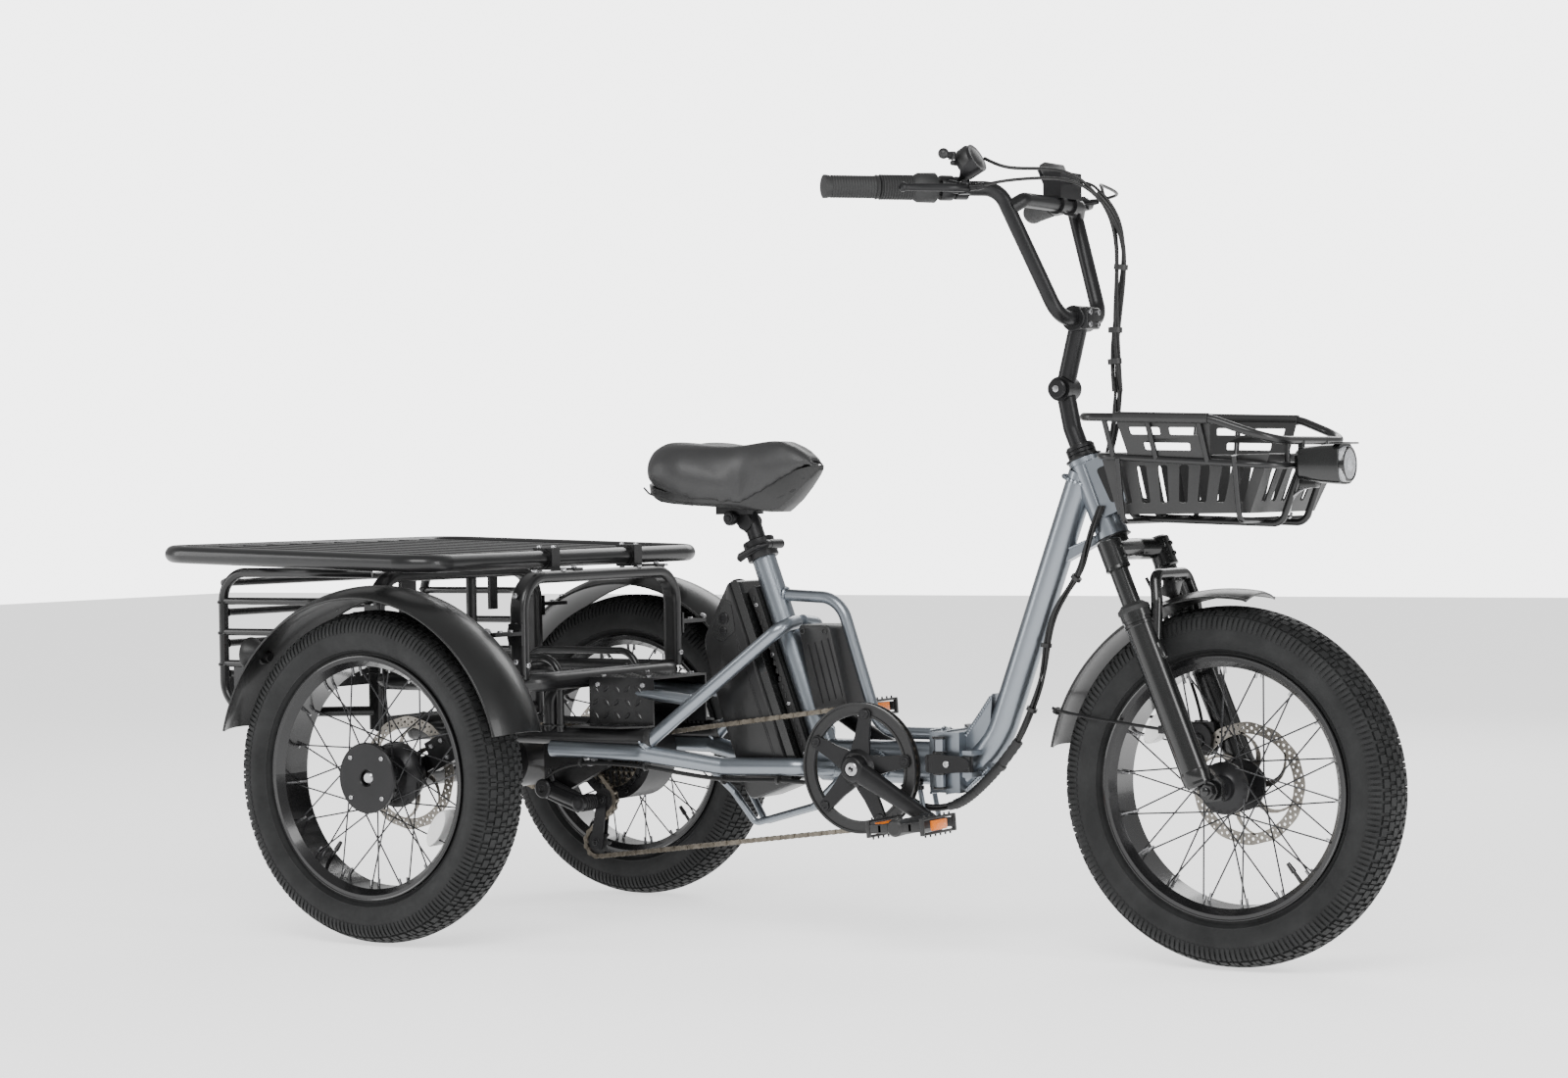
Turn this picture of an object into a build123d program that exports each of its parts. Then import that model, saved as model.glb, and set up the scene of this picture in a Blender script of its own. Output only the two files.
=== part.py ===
from build123d import *
from math import asin, atan2, cos, hypot, pi, radians, sin, tan
import os

# Folding cargo tricycle. +X forward, +Y left, +Z up, origin at the bottom centre of its box.
# The model is laid out from the rear axle line and shifted onto the origin when it is written.

# wheels
WHEEL_R = 261.0
TYRE_HALF_W = 50.0
RIM_EDGE_R = 191.0
RIM_HALF_W = 38.0
RIM_BED_R = 184.0
RIM_IN_R = 174.0
SPOKES = 36
SPOKE_R = 1.2
REAR_TRACK_HALF = 350.0
WHEELBASE = 1300.0
ROTOR_R = 90.0
ROTOR_T = 2.0
# steering geometry
HEAD_TILT = 21.8
HEAD_MID = (1089.2, 679.75)
HEAD_HALF = 64.0
HEAD_R = 23.0
STEERER_R = 14.2
RUN = 0.05
LEG_HALF = 78.0
LEG_FWD = 28.0
STANCHION_R = 14.0
LOWER_R = 21.0
# drive
BB = (709.0, 274.0)
CHAIN_Y = -61.0
PITCH = 12.7
RING_TEETH = 46
COGS = (11, 13, 15, 18, 21, 24, 28)
COG_STEP = 4.8
HUB = (218.0, 278.0)
GUIDE = (222.0, 207.0)
TENSION = (208.0, 138.0)
CRANK_LEN = 160.0
CRANK_ANGLE = -27.2
MOTOR_R = 73.0
FINAL_Y = 61.0
FINAL_TEETH = (16, 26)
# main frame
HINGE_X = 840.0
HINGE_PIN_Y = 42.0
HINGE_GAP = 0.2
SEAT_TOP = (488.5, 613.4)
SEAT_FOOT = (616.0, 272.0)
SEAT_TUBE_R = 19.0
POST_R = 13.6
STAY_R = 11.0
CHAINSTAY_R = 14.0
DOWN_TUBE_R = 22.0
LOOP_R = 9.5
GUARD_TUBE_R = 5.5
# cargo frame
LOW_TUBE_Y = 95.0
LOW_TUBE_Z = 312.0
RING_Z = 402.0
RING_HALF_Y = 215.0
HOOP_HALF_Y = 210.0
HOOP_FRONT_X = 172.0
HOOP_REAR_X = -120.0
HOOP_FRONT_TOP = 567.0
HOOP_REAR_TOP = 569.0
TUBE_R = 15.0
GUARD_X = -404.0
GUARD_Y = 262.0
PLAT_FRONT = 117.0
PLAT_REAR = -438.0
PLAT_HALF_Y = 375.0
PLAT_RAIL_R = 14.0
PLAT_Z = 594.0
PLAT_TILT = 1.85
FENDER_R = 300.0
FENDER_HALF_W = 60.0
# whole object, used only for the shift onto the origin
BOX_CENTRE_X = 554.5

def rad(a):
    return radians(a)


def bar(p, q, r):
    d = Vector(*q) - Vector(*p)
    low = (Align.CENTER, Align.CENTER, Align.MIN)
    return Plane(origin=p, z_dir=d) * Cylinder(r, d.length, align=low)


def bent(points, r, bend):
    path = FilletPolyline(*points, radius=bend)
    return sweep(Plane(origin=path @ 0, z_dir=path % 0) * Circle(r), path=path)


def ydisc(r, y0, y1, x=0.0, z=0.0):
    return Pos(x, (y0 + y1) / 2, z) * Rot(90, 0, 0) * Cylinder(r, abs(y1 - y0))


def ring_y(r_out, r_in, y0, y1, x=0.0, z=0.0):
    return ydisc(r_out, y0, y1, x, z) - ydisc(r_in, y0 - 1, y1 + 1, x, z)


def slab_xz(points, y0, y1):
    face = make_face(Polyline(*[(x, y0, z) for x, z in points], close=True))
    return extrude(face, amount=y1 - y0, dir=(0, 1, 0))


def box(x0, x1, y0, y1, z0, z1):
    centre = ((x0 + x1) / 2, (y0 + y1) / 2, (z0 + z1) / 2)
    return Pos(*centre) * Box(abs(x1 - x0), abs(y1 - y0), abs(z1 - z0))


def mirrored(part):
    return mirror(part, about=Plane.XZ)


def both(part):
    return part + mirrored(part)


def pitch_r(teeth):
    return PITCH / (2 * sin(pi / teeth))


def polar(c, r, a):
    return (c[0] + r * cos(a), c[1] + r * sin(a))


def write(name, part):
    os.makedirs("parts", exist_ok=True)
    export_step(Pos(-BOX_CENTRE_X, 0, 0) * part, "parts/" + name + ".step")


# ---------------------------------------------------------------- wheels
def tyre_section(side_r, side_y, crown_r, crown_y, top_r, bead_y, bead_r):
    line = Line((bead_r, -bead_y), (bead_r, bead_y))
    line += ThreePointArc((bead_r, bead_y), (side_r, side_y), (crown_r, crown_y))
    line += ThreePointArc((crown_r, crown_y), (top_r, 0), (crown_r, -crown_y))
    line += ThreePointArc((crown_r, -crown_y), (side_r, -side_y), (bead_r, -bead_y))
    return revolve(make_face(line), axis=Axis.Y)


def tyre():
    shell = tyre_section(222.0, TYRE_HALF_W, 249.0, 42.0, WHEEL_R, 33.5, 192.6)
    shell += ring_y(200.0, RIM_BED_R + 0.5, -33.5, 33.5)
    shell -= tyre_section(221.0, TYRE_HALF_W - 7, 243.0, 36.0, WHEEL_R - 10, 28.0, 190.0)
    return shell - ydisc(195.0, -28.0, 28.0)


def rim():
    h = RIM_HALF_W
    half = [(RIM_BED_R, 0), (RIM_BED_R, 34), (RIM_EDGE_R, 34), (RIM_EDGE_R, h),
            (RIM_BED_R - 1, h), (RIM_IN_R, 26), (RIM_IN_R, 0)]
    other = [(r, -y) for r, y in reversed(half[1:-1])]
    return revolve(make_face(Polyline(*half, *other, close=True)), axis=Axis.Y)


def spokes(flange_r, flange_out, flange_in):
    rods = []
    rim_r = RIM_IN_R + 2.5
    for i in range(SPOKES):
        side = 1 if i % 2 == 0 else -1
        lead = 1 if (i // 2) % 2 == 0 else -1
        at = 2 * pi * (i - 0.5 * side) / SPOKES
        yf = (flange_out if side > 0 else flange_in) + 3.2 * lead
        start = at - lead * rad(62)
        p = (flange_r * cos(start), yf, flange_r * sin(start))
        q = (rim_r * cos(at), 9.0 * side, rim_r * sin(at))
        rods.append(bar(p, q, SPOKE_R))
    return Compound(rods)


def rear_hub():
    # local frame: +Y points out of the tricycle
    body = ydisc(28, -66, 30) + ydisc(50, 18, 23) + ydisc(50, -42, -37)
    body += ydisc(55, 30, 34) + ydisc(46, 23, 30) + ydisc(36, -69, -56)
    body += ydisc(ROTOR_R, -72, -72 + ROTOR_T) + ydisc(30, -74, -66)
    body += ydisc(12 - RUN, -140, -72)
    body -= ydisc(9, 26, 35)
    for i in range(6):
        a = 2 * pi * i / 6
        body -= ydisc(16, -73, -69.5, 62 * cos(a), 62 * sin(a))
    return body


def front_hub():
    body = ydisc(22, -56, 56) + ydisc(38, -32, -27) + ydisc(38, 25, 30)
    body += ydisc(ROTOR_R, 49, 49 + ROTOR_T) + ydisc(30, 45, 49)
    body -= ydisc(6 + RUN, -57, 57)
    for i in range(6):
        a = 2 * pi * i / 6
        body -= ydisc(16, 48, 52, 62 * cos(a), 62 * sin(a))
    return body


TYRE = tyre()
RIM = rim()
REAR_HUB = rear_hub()
REAR_SPOKES = spokes(46, 20.5, -39.5)
FRONT_SPOKES = spokes(35, 27.5, -29.5)
RIGHT = Pos(0, -REAR_TRACK_HALF, WHEEL_R) * Rot(0, 0, 180)
LEFT = Pos(0, REAR_TRACK_HALF, WHEEL_R)
FRONT = Pos(WHEELBASE, 0, WHEEL_R)
for name, place in (("rear_right", RIGHT), ("rear_left", LEFT)):
    write(name + "_tyre", place * TYRE)
    write(name + "_rim", place * RIM)
    write(name + "_hub", place * REAR_HUB)
    write(name + "_spokes", place * REAR_SPOKES)
write("front_tyre", FRONT * TYRE)
write("front_rim", FRONT * RIM)
write("front_hub", FRONT * front_hub())
write("front_spokes", FRONT * FRONT_SPOKES)

# ---------------------------------------------------------------- rear frame
S_DIR = Vector(SEAT_TOP[0] - SEAT_FOOT[0], 0, SEAT_TOP[1] - SEAT_FOOT[1]).normalized()


def on_seat(a, b, y=0.0):
    # a along the seat tube from its top, b behind the tube
    x = SEAT_TOP[0] + a * S_DIR.X - b * S_DIR.Z
    z = SEAT_TOP[1] + a * S_DIR.Z + b * S_DIR.X
    return (x, y, z)


def rear_frame():
    seat = bar((SEAT_FOOT[0], 0, SEAT_FOOT[1]), on_seat(0, 0), SEAT_TUBE_R)
    main_plane = Plane(origin=(604, 0, 279), z_dir=(1, 0, 0), x_dir=(0, 1, 0))
    main = extrude(main_plane * RectangleRounded(46, 66, 22), amount=HINGE_X - 10 - 604)
    shell = ydisc(24, -33, 33, *BB)
    loop = bent([(515, 0, 536), (636, 0, 530), (705, 0, 324), (832, 0, 324)], LOOP_R, 48)
    frame = seat + main + shell + loop
    for y in (-1, 1):
        stay = bent([(561, y * 8, 493), (563, y * 56, 487), (329, y * 98, 300)], STAY_R, 22)
        chain = bent([(626, y * 14, 268), (586, y * 57, 271), (455, y * 62, 268),
                      (325, y * 97, 288), (150, y * 100, 291)], CHAINSTAY_R, 24)
        strut = bar((415, y * 80, 371), (204, y * 55, 388), 9)
        guard = bent([(432, y * 70, 268), (446, y * 22, 226), (482, y * 14, 176),
                      (590, y * 14, 206), (640, y * 14, 252)], GUARD_TUBE_R, 12)
        frame += stay + chain + strut + guard
    block = box(HINGE_X - 26, HINGE_X - HINGE_GAP, -36, 32, 238, 330)
    knuckle = Pos(HINGE_X, HINGE_PIN_Y, 0) * (
        Pos(0, 0, 250) * Cylinder(9, 24) + Pos(0, 0, 318) * Cylinder(9, 24))
    webs = box(HINGE_X - 20, HINGE_X - HINGE_GAP, 30, HINGE_PIN_Y, 238, 262)
    webs += box(HINGE_X - 20, HINGE_X - HINGE_GAP, 30, HINGE_PIN_Y, 306, 330)
    catch = Pos(HINGE_X - 3, -45, 284) * Cylinder(8.5, 76)
    catch += box(HINGE_X - 12, HINGE_X - 3, -45, -34, 300, 322)
    catch += box(HINGE_X - 12, HINGE_X - 3, -45, -34, 246, 268)
    frame += block + knuckle + webs + catch
    frame -= Pos(HINGE_X, HINGE_PIN_Y, 284) * Cylinder(5, 120)
    frame -= ydisc(12 + RUN, -40, 40, *BB)
    frame -= bar(on_seat(-330, 0), on_seat(10, 0), POST_R + RUN)
    stand = bent([(785, -20, 250), (800, -20, 175), (800, 20, 175), (785, 20, 250)], 4, 10)
    return frame + stand


write("rear_frame", rear_frame())
write("fold_pin", Pos(HINGE_X, HINGE_PIN_Y, 284) * (
    Cylinder(5, 94) + Pos(0, 0, 49) * Cylinder(8, 4) + Pos(0, 0, -49) * Cylinder(8, 4)))

# seat clamp, lever, post and saddle
clamp = bar(on_seat(-22, 0), on_seat(8, 0), SEAT_TUBE_R + 5)
clamp -= bar(on_seat(-40, 0), on_seat(0, 0), SEAT_TUBE_R)
clamp -= bar(on_seat(-40, 0), on_seat(30, 0), POST_R + RUN)
clamp += bar(on_seat(-8, -26, -14), on_seat(-8, -26, 14), 7)
write("seat_clamp", clamp)
lever = bar(on_seat(-8, -26, -24), on_seat(-8, -26, -15), 7)
lever += bent([on_seat(-8, -26, -20), on_seat(-8, -16, -34), on_seat(-12, 24, -32)], 4, 8)
write("seat_lever", lever)
post = bar(on_seat(-230, 0), on_seat(52, 0), POST_R)
post += bar(on_seat(40, 4, -16), on_seat(40, 4, 16), 13)
post += Pos(452, 0, 668) * Box(60, 46, 12)
post -= bar(on_seat(-231, 0), on_seat(-120, 0), 10)
write("seatpost", post)
plan = [(318, -62), (340, -112), (405, -122), (478, -70), (540, -38), (606, -26), (614, 0)]
plan += [(x, -y) for x, y in reversed(plan[:-1])]
side = [(310, 690), (314, 770), (345, 781), (468, 774), (536, 781), (583, 762), (616, 728),
        (570, 694), (542, 676), (460, 675)]
over = FilletPolyline(*[(x, y, 640) for x, y in plan], radius=24, close=True)
profile = FilletPolyline(*[(x, -140, z) for x, z in side], radius=12, close=True)
saddle = extrude(make_face(over), amount=160, dir=(0, 0, 1))
saddle = saddle & extrude(make_face(profile), amount=280, dir=(0, 1, 0))
write("saddle", saddle)

# battery, rail and controller
PACK = [(-375, 36), (-375, 142), (-108, 142), (-104, 131), (-42, 50), (-42, 36)]
battery = slab_xz([(on_seat(a, b)[0], on_seat(a, b)[2]) for a, b in PACK], -41, 41)
battery = fillet(battery.edges().filter_by(Axis.Y), 6)
write("battery", battery)
RAIL = [(-372, SEAT_TUBE_R - 1), (-372, 35.5), (-64, 35.5), (-64, SEAT_TUBE_R - 1)]
rail = slab_xz([(on_seat(a, b)[0], on_seat(a, b)[2]) for a, b in RAIL], -14, 14)
rail -= bar(on_seat(-400, 0), on_seat(0, 0), SEAT_TUBE_R)
write("battery_rail", rail)
ctrl = slab_xz([(577, 490), (634, 490), (668, 357), (606, 357)], -31, 31)
ctrl = fillet(ctrl.edges().filter_by(Axis.Y), 8)
ctrl -= bar(on_seat(-330, 0), on_seat(0, 0), SEAT_TUBE_R + 0.2)
write("controller_box", ctrl)


# ---------------------------------------------------------------- front frame
A_DIR = (sin(rad(HEAD_TILT)), -cos(rad(HEAD_TILT)))
N_DIR = (cos(rad(HEAD_TILT)), sin(rad(HEAD_TILT)))


def fork(s, n, y=0.0):
    # s down the steering axis from the head tube's middle, n in front of the axis
    x = HEAD_MID[0] + s * A_DIR[0] + n * N_DIR[0]
    z = HEAD_MID[1] + s * A_DIR[1] + n * N_DIR[1]
    return (x, y, z)


def front_frame():
    head = bar(fork(-HEAD_HALF, 0), fork(HEAD_HALF, 0), HEAD_R)
    head += bar(fork(HEAD_HALF - 12, 0), fork(HEAD_HALF, 0), HEAD_R + 2)
    head += bar(fork(-HEAD_HALF, 0), fork(-HEAD_HALF + 10, 0), HEAD_R + 2)
    down = bent([(1065, 0, 716.9), (915, 0, 317), (858, 0, 265)], DOWN_TUBE_R, 130)
    block = box(HINGE_X + HINGE_GAP, HINGE_X + 26, -36, 32, 238, 330)
    knuckle = Pos(HINGE_X, HINGE_PIN_Y, 284) * Cylinder(9, 43)
    web = box(HINGE_X + HINGE_GAP, HINGE_X + 20, 30, HINGE_PIN_Y, 262.5, 305.5)
    gusset = slab_xz([(862, 326), (912, 388), (905, 320), (862, 290)], -14, 14)
    foot = slab_xz([(862, 240), (862, 262), (905, 290), (912, 272)], -16, 16)
    lower = slab_xz([(1030, 600), (1090, 626), (1098, 616), (1038, 586)], -9, 9)
    frame = head + down + block + knuckle + web + gusset + foot + lower
    side = [fork(-52, 6), fork(-52, 50), fork(34, 54), fork(34, 6)]
    plates = slab_xz([(p[0], p[2]) for p in side], -24, 24)
    hollow = [fork(-60, 6), fork(-60, 47), fork(42, 50), fork(42, 6)]
    plates -= slab_xz([(p[0], p[2]) for p in hollow], -20.5, 20.5)
    window = [fork(-32, 28), fork(-32, 42), fork(16, 43), fork(16, 32)]
    plates -= slab_xz([(p[0], p[2]) for p in window], -30, 30)
    frame += plates
    # latch lever pivot ears on the front half
    ears = box(880, 896, -52, -20, 296.4, 304) + box(880, 896, -52, -20, 264, 271.6)
    frame += ears
    frame -= Pos(888, -46, 284) * Cylinder(3, 60)
    frame -= Pos(HINGE_X, HINGE_PIN_Y, 284) * Cylinder(5 + RUN, 60)
    frame -= bar(fork(-80, 0), fork(80, 0), STEERER_R + RUN)
    return frame


write("front_frame", front_frame())
latch = Pos(888, -46, 284) * (Cylinder(7, 24) + Cylinder(3 - RUN, 39))
latch += box(824, 888, -60, -57, 272.5, 295.5) + box(880, 890, -60, -46, 272.5, 295.5)
write("fold_latch", latch)


# ---------------------------------------------------------------- fork and steering
def fork_upper():
    part = bar(fork(-78, 0), fork(100, 0), STEERER_R)
    part += bar(fork(HEAD_HALF + 0.6, 0), fork(100, 0), 21)
    arm = bent([fork(94, LEG_FWD, -LEG_HALF), fork(86, 10, -38), fork(86, 10, 38),
                fork(94, LEG_FWD, LEG_HALF)], 16, 22)
    part += arm
    for y in (-LEG_HALF, LEG_HALF):
        part += bar(fork(80, LEG_FWD, y), fork(122, LEG_FWD, y), 18)
        part += bar(fork(90, LEG_FWD, y), fork(300, LEG_FWD, y), STANCHION_R)
    part += bar(fork(-84, 0), fork(-HEAD_HALF - 0.6, 0), 20)
    return part


def fork_lowers():
    part = None
    for y in (-LEG_HALF, LEG_HALF):
        leg = bar(fork(190, LEG_FWD, y), fork(452, LEG_FWD, y), LOWER_R)
        leg += bar(fork(182, LEG_FWD, y), fork(200, LEG_FWD, y), LOWER_R + 2)
        leg -= bar(fork(180, LEG_FWD, y), fork(368, LEG_FWD, y), STANCHION_R + RUN)
        y0 = 62 if y > 0 else -74
        drop = [fork(436, 18), fork(436, 46), fork(462, 60), fork(486, 50), fork(480, 26)]
        leg += slab_xz([(p[0], p[2]) for p in drop], y0, y0 + 12)
        part = leg if part is None else part + leg
    arch = bent([fork(244, 40, -74), fork(184, 60, -62), fork(147, 66, -50), fork(147, 66, 50),
                 fork(184, 60, 62), fork(244, 40, 74)], 8.5, 16)
    for y in (-LEG_HALF, LEG_HALF):
        arch -= bar(fork(170, LEG_FWD, y), fork(300, LEG_FWD, y), STANCHION_R + 2)
    part += arch
    part += ydisc(6, -84, 84, WHEELBASE, WHEEL_R)
    part += ydisc(11, -84, -74, WHEELBASE, WHEEL_R) + ydisc(11, 74, 84, WHEELBASE, WHEEL_R)
    part += ring_y(10, 6, 56.5, 62, WHEELBASE, WHEEL_R)
    part += ring_y(10, 6, -62, -56.5, WHEELBASE, WHEEL_R)
    # caliper on the left leg
    cal = box(1205, 1240, 44, 62, 300, 342)
    cal -= box(1203, 1242, 47.5, 52.5, 255, 338)
    cal += box(1225, 1245, 56, 68, 305, 335)
    return part + cal


write("fork_upper", fork_upper())
write("fork_lowers", fork_lowers())


def arched(r_mid, r_edge, half_w, thick, a0, a1):
    # a curved-section mudguard about the Y axis, from angle a0 to a1 above +X
    top = ThreePointArc((r_edge, -half_w), (r_mid, 0), (r_edge, half_w))
    side = Line((r_edge, half_w), (r_edge - thick, half_w))
    under = ThreePointArc((r_edge - thick, half_w), (r_mid - thick, 0), (r_edge - thick, -half_w))
    back = Line((r_edge - thick, -half_w), (r_edge, -half_w))
    face = make_face(top + side + under + back)
    return Rot(0, -a0, 0) * revolve(face, axis=Axis.Y, revolution_arc=-(a1 - a0))


def front_fender():
    part = FRONT * arched(286, 276, 49, 3, 80, 169)
    part += box(1198, 1214, -12, 12, 536, 562)
    for y in (-1, 1):
        part += bar((1040, y * 54.5, 366), (1222, y * 59, 345), 2.5)
        part += bar((1040, y * 46, 366), (1040, y * 57, 366), 5)
    return part


write("front_fender", front_fender())

# stem and handlebar
JOINT = (1036.0, 842.0)
CLAMP = (1063.0, 945.0)


def stem_quill():
    foot = fork(-84, 0)
    tube = bent([foot, fork(-112, 0), (JOINT[0], 0, JOINT[1])], 14, 30)
    ears = ydisc(18, -19, 19, *JOINT)
    part = tube + ears - ydisc(18.6, -8.3, 8.3, *JOINT)
    part += ydisc(5, -8.3, 8.3, *JOINT) + ydisc(12, -24, -19, *JOINT) + ydisc(9, 19, 23, *JOINT)
    return part


def handlebar():
    up = Vector(CLAMP[0] - JOINT[0], 0, CLAMP[1] - JOINT[1]).normalized()
    top = (CLAMP[0], 0, CLAMP[1])
    neck = bar((JOINT[0] + 8 * up.X, 0, JOINT[1] + 8 * up.Z), top, 14)
    neck -= ydisc(18.7, -30, 30, *JOINT)
    part = neck + ydisc(18, -8, 8, *JOINT) + box(1036, 1048, -8, 8, 850, 868)
    part -= ydisc(5 + RUN, -20, 20, *JOINT)
    part += ydisc(19, -22, 22, *CLAMP)
    half = [(CLAMP[0], -66, CLAMP[1]), (992, -112, 1134), (818, -313, 1135)]
    path = half[::-1] + [(x, -y, z) for x, y, z in half]
    part += bent(path, 11.1, 34)
    cross = [(1006, -104, 1106), (1018, -86, 1118), (1018, 86, 1118), (1006, 104, 1106)]
    part += bent(cross, 11.1, 12)
    return part


write("stem_quill", stem_quill())
write("handlebar", handlebar())

BEND = Vector(992, -112, 1134)
TIP = Vector(818, -313, 1135)
G_DIR = (TIP - BEND).normalized()


def on_grip(t, f=0.0, up=0.0):
    # t along the right grip from the bend, f in front of the bar, up above it
    p = BEND + G_DIR * t + Vector(0.769, -0.639, 0) * f
    return (p.X, p.Y, p.Z + up)


BAR_LEN = (TIP - BEND).length
right_grip = bar(on_grip(186), on_grip(BAR_LEN + 3), 16)
left_grip = mirrored(bar(on_grip(106), on_grip(BAR_LEN + 3), 16))
perch = bar(on_grip(72), on_grip(92), 17) + bar(on_grip(82, 10), on_grip(66, 34, -4), 8)
perch += bar(on_grip(66, 34, -12), on_grip(66, 34, -9), 9)
perch += bar(on_grip(66, 34, 1), on_grip(66, 34, 4), 9)
perch -= bar(on_grip(66, 34, -8.8), on_grip(66, 34, 0.8), 15)
perch += bar(on_grip(66, 34, -12), on_grip(66, 34, 4), 2.5)
shifter = bar(on_grip(50), on_grip(68), 17) + bar(on_grip(56, 6, 12), on_grip(56, 16, 30), 8)
shifter += bar(on_grip(60, 14, 30), on_grip(44, 30, 42), 22)
shifter += bar(on_grip(60, 15, 34), on_grip(82, 28, 34), 4)
pod = box(1000, 1030, 8, 74, 1126, 1166)
pod += bar((1018, 54, 1118), (1018, 66, 1118), 15) + bar((1018, 14, 1118), (1018, 26, 1118), 15)
bore = bar(on_grip(-10), on_grip(BAR_LEN), 11.1)
write("grips", (right_grip - bore) + (left_grip - mirrored(bore)))
display = pod - bar((1018, -80, 1118), (1018, 100, 1118), 11.1)
write("bar_controls", (perch + shifter - bore) + mirrored(perch - bore) + display)
blade = bar(on_grip(66, 34, -8.4), on_grip(66, 34, 0.4), 8.5)
blade += bent([on_grip(66, 38, -4), on_grip(84, 52, -4), on_grip(168, 50, -4)], 4.4, 18)
blade += Pos(*on_grip(170, 50, -4)) * Sphere(9)
blade -= bar(on_grip(66, 34, -20), on_grip(66, 34, 20), 2.5 + RUN)
write("brake_lever_right", blade)
write("brake_lever_left", mirrored(blade))
twist = bar(on_grip(98), on_grip(130), 21) + bar(on_grip(130), on_grip(183), 18)
twist -= bar(on_grip(90), on_grip(190), 11.1 + RUN)
write("throttle_twist", twist)
paddle = bar(on_grip(82, 28, 44), on_grip(98, 38, 46), 5) + Pos(*on_grip(99, 39, 46)) * Sphere(8)
paddle += bar(on_grip(82, 28, 38.5), on_grip(82, 28, 50), 5.5)
write("shift_paddle", paddle)


# ---------------------------------------------------------------- basket, lamp and cables
def basket_frame():
    top = [(1135, 0, 797), (1135, -152, 797), (1345, -152, 789), (1430, -132, 757), (1430, 0, 757)]
    mid = [(1150, 0, 741), (1150, -130, 741), (1430, -130, 722), (1430, 0, 722)]
    half = bent(top, 6, [30, 60, 60]) + bent(mid, 5, [28, 45])
    floor = [(1150, -40, 741), (1165, -40, 650), (1400, -40, 640), (1432, -40, 722),
             (1432, -40, 757)]
    half += bent(floor, 5, 18)
    for x in (1190, 1372):
        half += bent([(x, -134, 737), (x, -119, 646), (x, 0, 646)], 4, 14)
    for x, z in ((1182, 739), (1250, 734), (1330, 728)):
        half += bar((x, -131, z), (x - 4, -152, z + 56), 4)
    half += bar((1430, -84, 722), (1430, -84, 757), 4)
    half += bar(fork(-34, 53, -22), (1152, -40, 729), 5) + bar(fork(26, 53, -22), (1162, -40, 668), 5)
    return both(half)


def basket_liner():
    def tub(grow, z0, z1):
        low = Plane(origin=(1279, 0, z0)) * RectangleRounded(206 + grow, 220 + grow, 18)
        high = Plane(origin=(1290, 0, z1)) * RectangleRounded(262 + grow, 246 + grow, 22)
        return loft([low, high])
    part = tub(0, 656, 737) - Pos(0, 0, 3) * tub(-6, 656, 737)
    panel = box(1198, 1340, -146, -143, 743, 788) + box(1198, 1340, 143, 146, 743, 788)
    for z in (753, 766, 779):
        panel -= box(1212, 1326, -160, 160, z - 3, z + 3)
    return part + panel


write("basket_frame", basket_frame())
write("basket_liner", basket_liner())
lamp = bar((1442, -62, 720), (1496, -62, 720), 27) + bar((1496, -62, 720), (1512, -62, 720), 30)
lamp += box(1436.5, 1444, -70, -54, 700, 752) + box(1436.5, 1470, -86, -38, 735, 748)
write("headlamp", lamp)


def cord(points, r):
    # straight runs joined by arcs as large as the shorter run beside each allows
    v = [Vector(*p) for p in points]
    radii = []
    for a, b, c in zip(v, v[1:], v[2:]):
        turn = radians((b - a).get_angle(c - b))
        radii.append(0.45 * min((b - a).length, (c - b).length) / tan(turn / 2))
    path = FilletPolyline(*points, radius=radii)
    return sweep(Plane(origin=path @ 0, z_dir=path % 0) * Circle(r), path=path)


bundle = [(1097, -3, 1128), (1119, -1, 1104), (1132, 0, 1064), (1132, 0, 1018), (1126, 1, 972),
          (1121, 0, 926), (1120, -1, 880), (1124, 0, 836)]
hand = [on_grip(62, 44, -4), on_grip(40, 66, 4), on_grip(10, 84, 6), (1062, -70, 1150),
        (1088, -34, 1142), (1097, -8, 1128)]
screen = [(1032, 40, 1146), (1058, 36, 1146), (1080, 22, 1138), (1097, 4, 1124)]
run = cord(bundle, 7) + cord(hand, 3) + cord([(x, -y, z) for x, y, z in hand], 3)
run += cord(screen, 2.5)
write("bar_cables", run)
front_run = [(1108, -27, 668), (1096, -31, 640), (1082, -24, 612), (1070, -17, 582),
             (1058, -15, 562), (1042, -15, 542), (1018, -16, 508),
             (1006, -15, 462), (1001, -16, 414), (980, -15, 366), (957, -16, 318),
             (926, -15, 280), (892, -16, 247), (864, -15, 226), (846, -15, 219)]
head_run = [(1122, 0, 818), (1121, 0, 796), (1115, 0, 768), (1105, 0, 742), (1107, 0, 718)]
write("front_cables", cord(front_run, 6) + cord(head_run, 5.5))
stay_run = [(600, -52, 248), (556, -61, 251), (505, -62, 249), (455, -63, 248), (395, -79, 256),
            (330, -96, 268), (270, -101, 271), (210, -104, 271), (165, -106, 262),
            (140, -104, 244)]
tail_run = [(835, -15, 216), (812, -14, 211), (788, -15, 213), (766, -14, 224), (752, -15, 243)]
write("rear_cables", cord(stay_run, 3.5) + cord(tail_run, 5))


# ---------------------------------------------------------------- crank, chain and gears
def sprocket(teeth, thick, y, centre):
    pr = pitch_r(teeth)
    pts = []
    for i in range(teeth):
        a = 2 * pi * i / teeth
        w = 2 * pi / teeth
        for frac, r in ((-0.32, pr - 3.8), (-0.12, pr + 3.4), (0.12, pr + 3.4), (0.32, pr - 3.8)):
            pts.append(polar(centre, r, a + frac * w))
    return slab_xz(pts, y - thick / 2, y + thick / 2)


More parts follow.
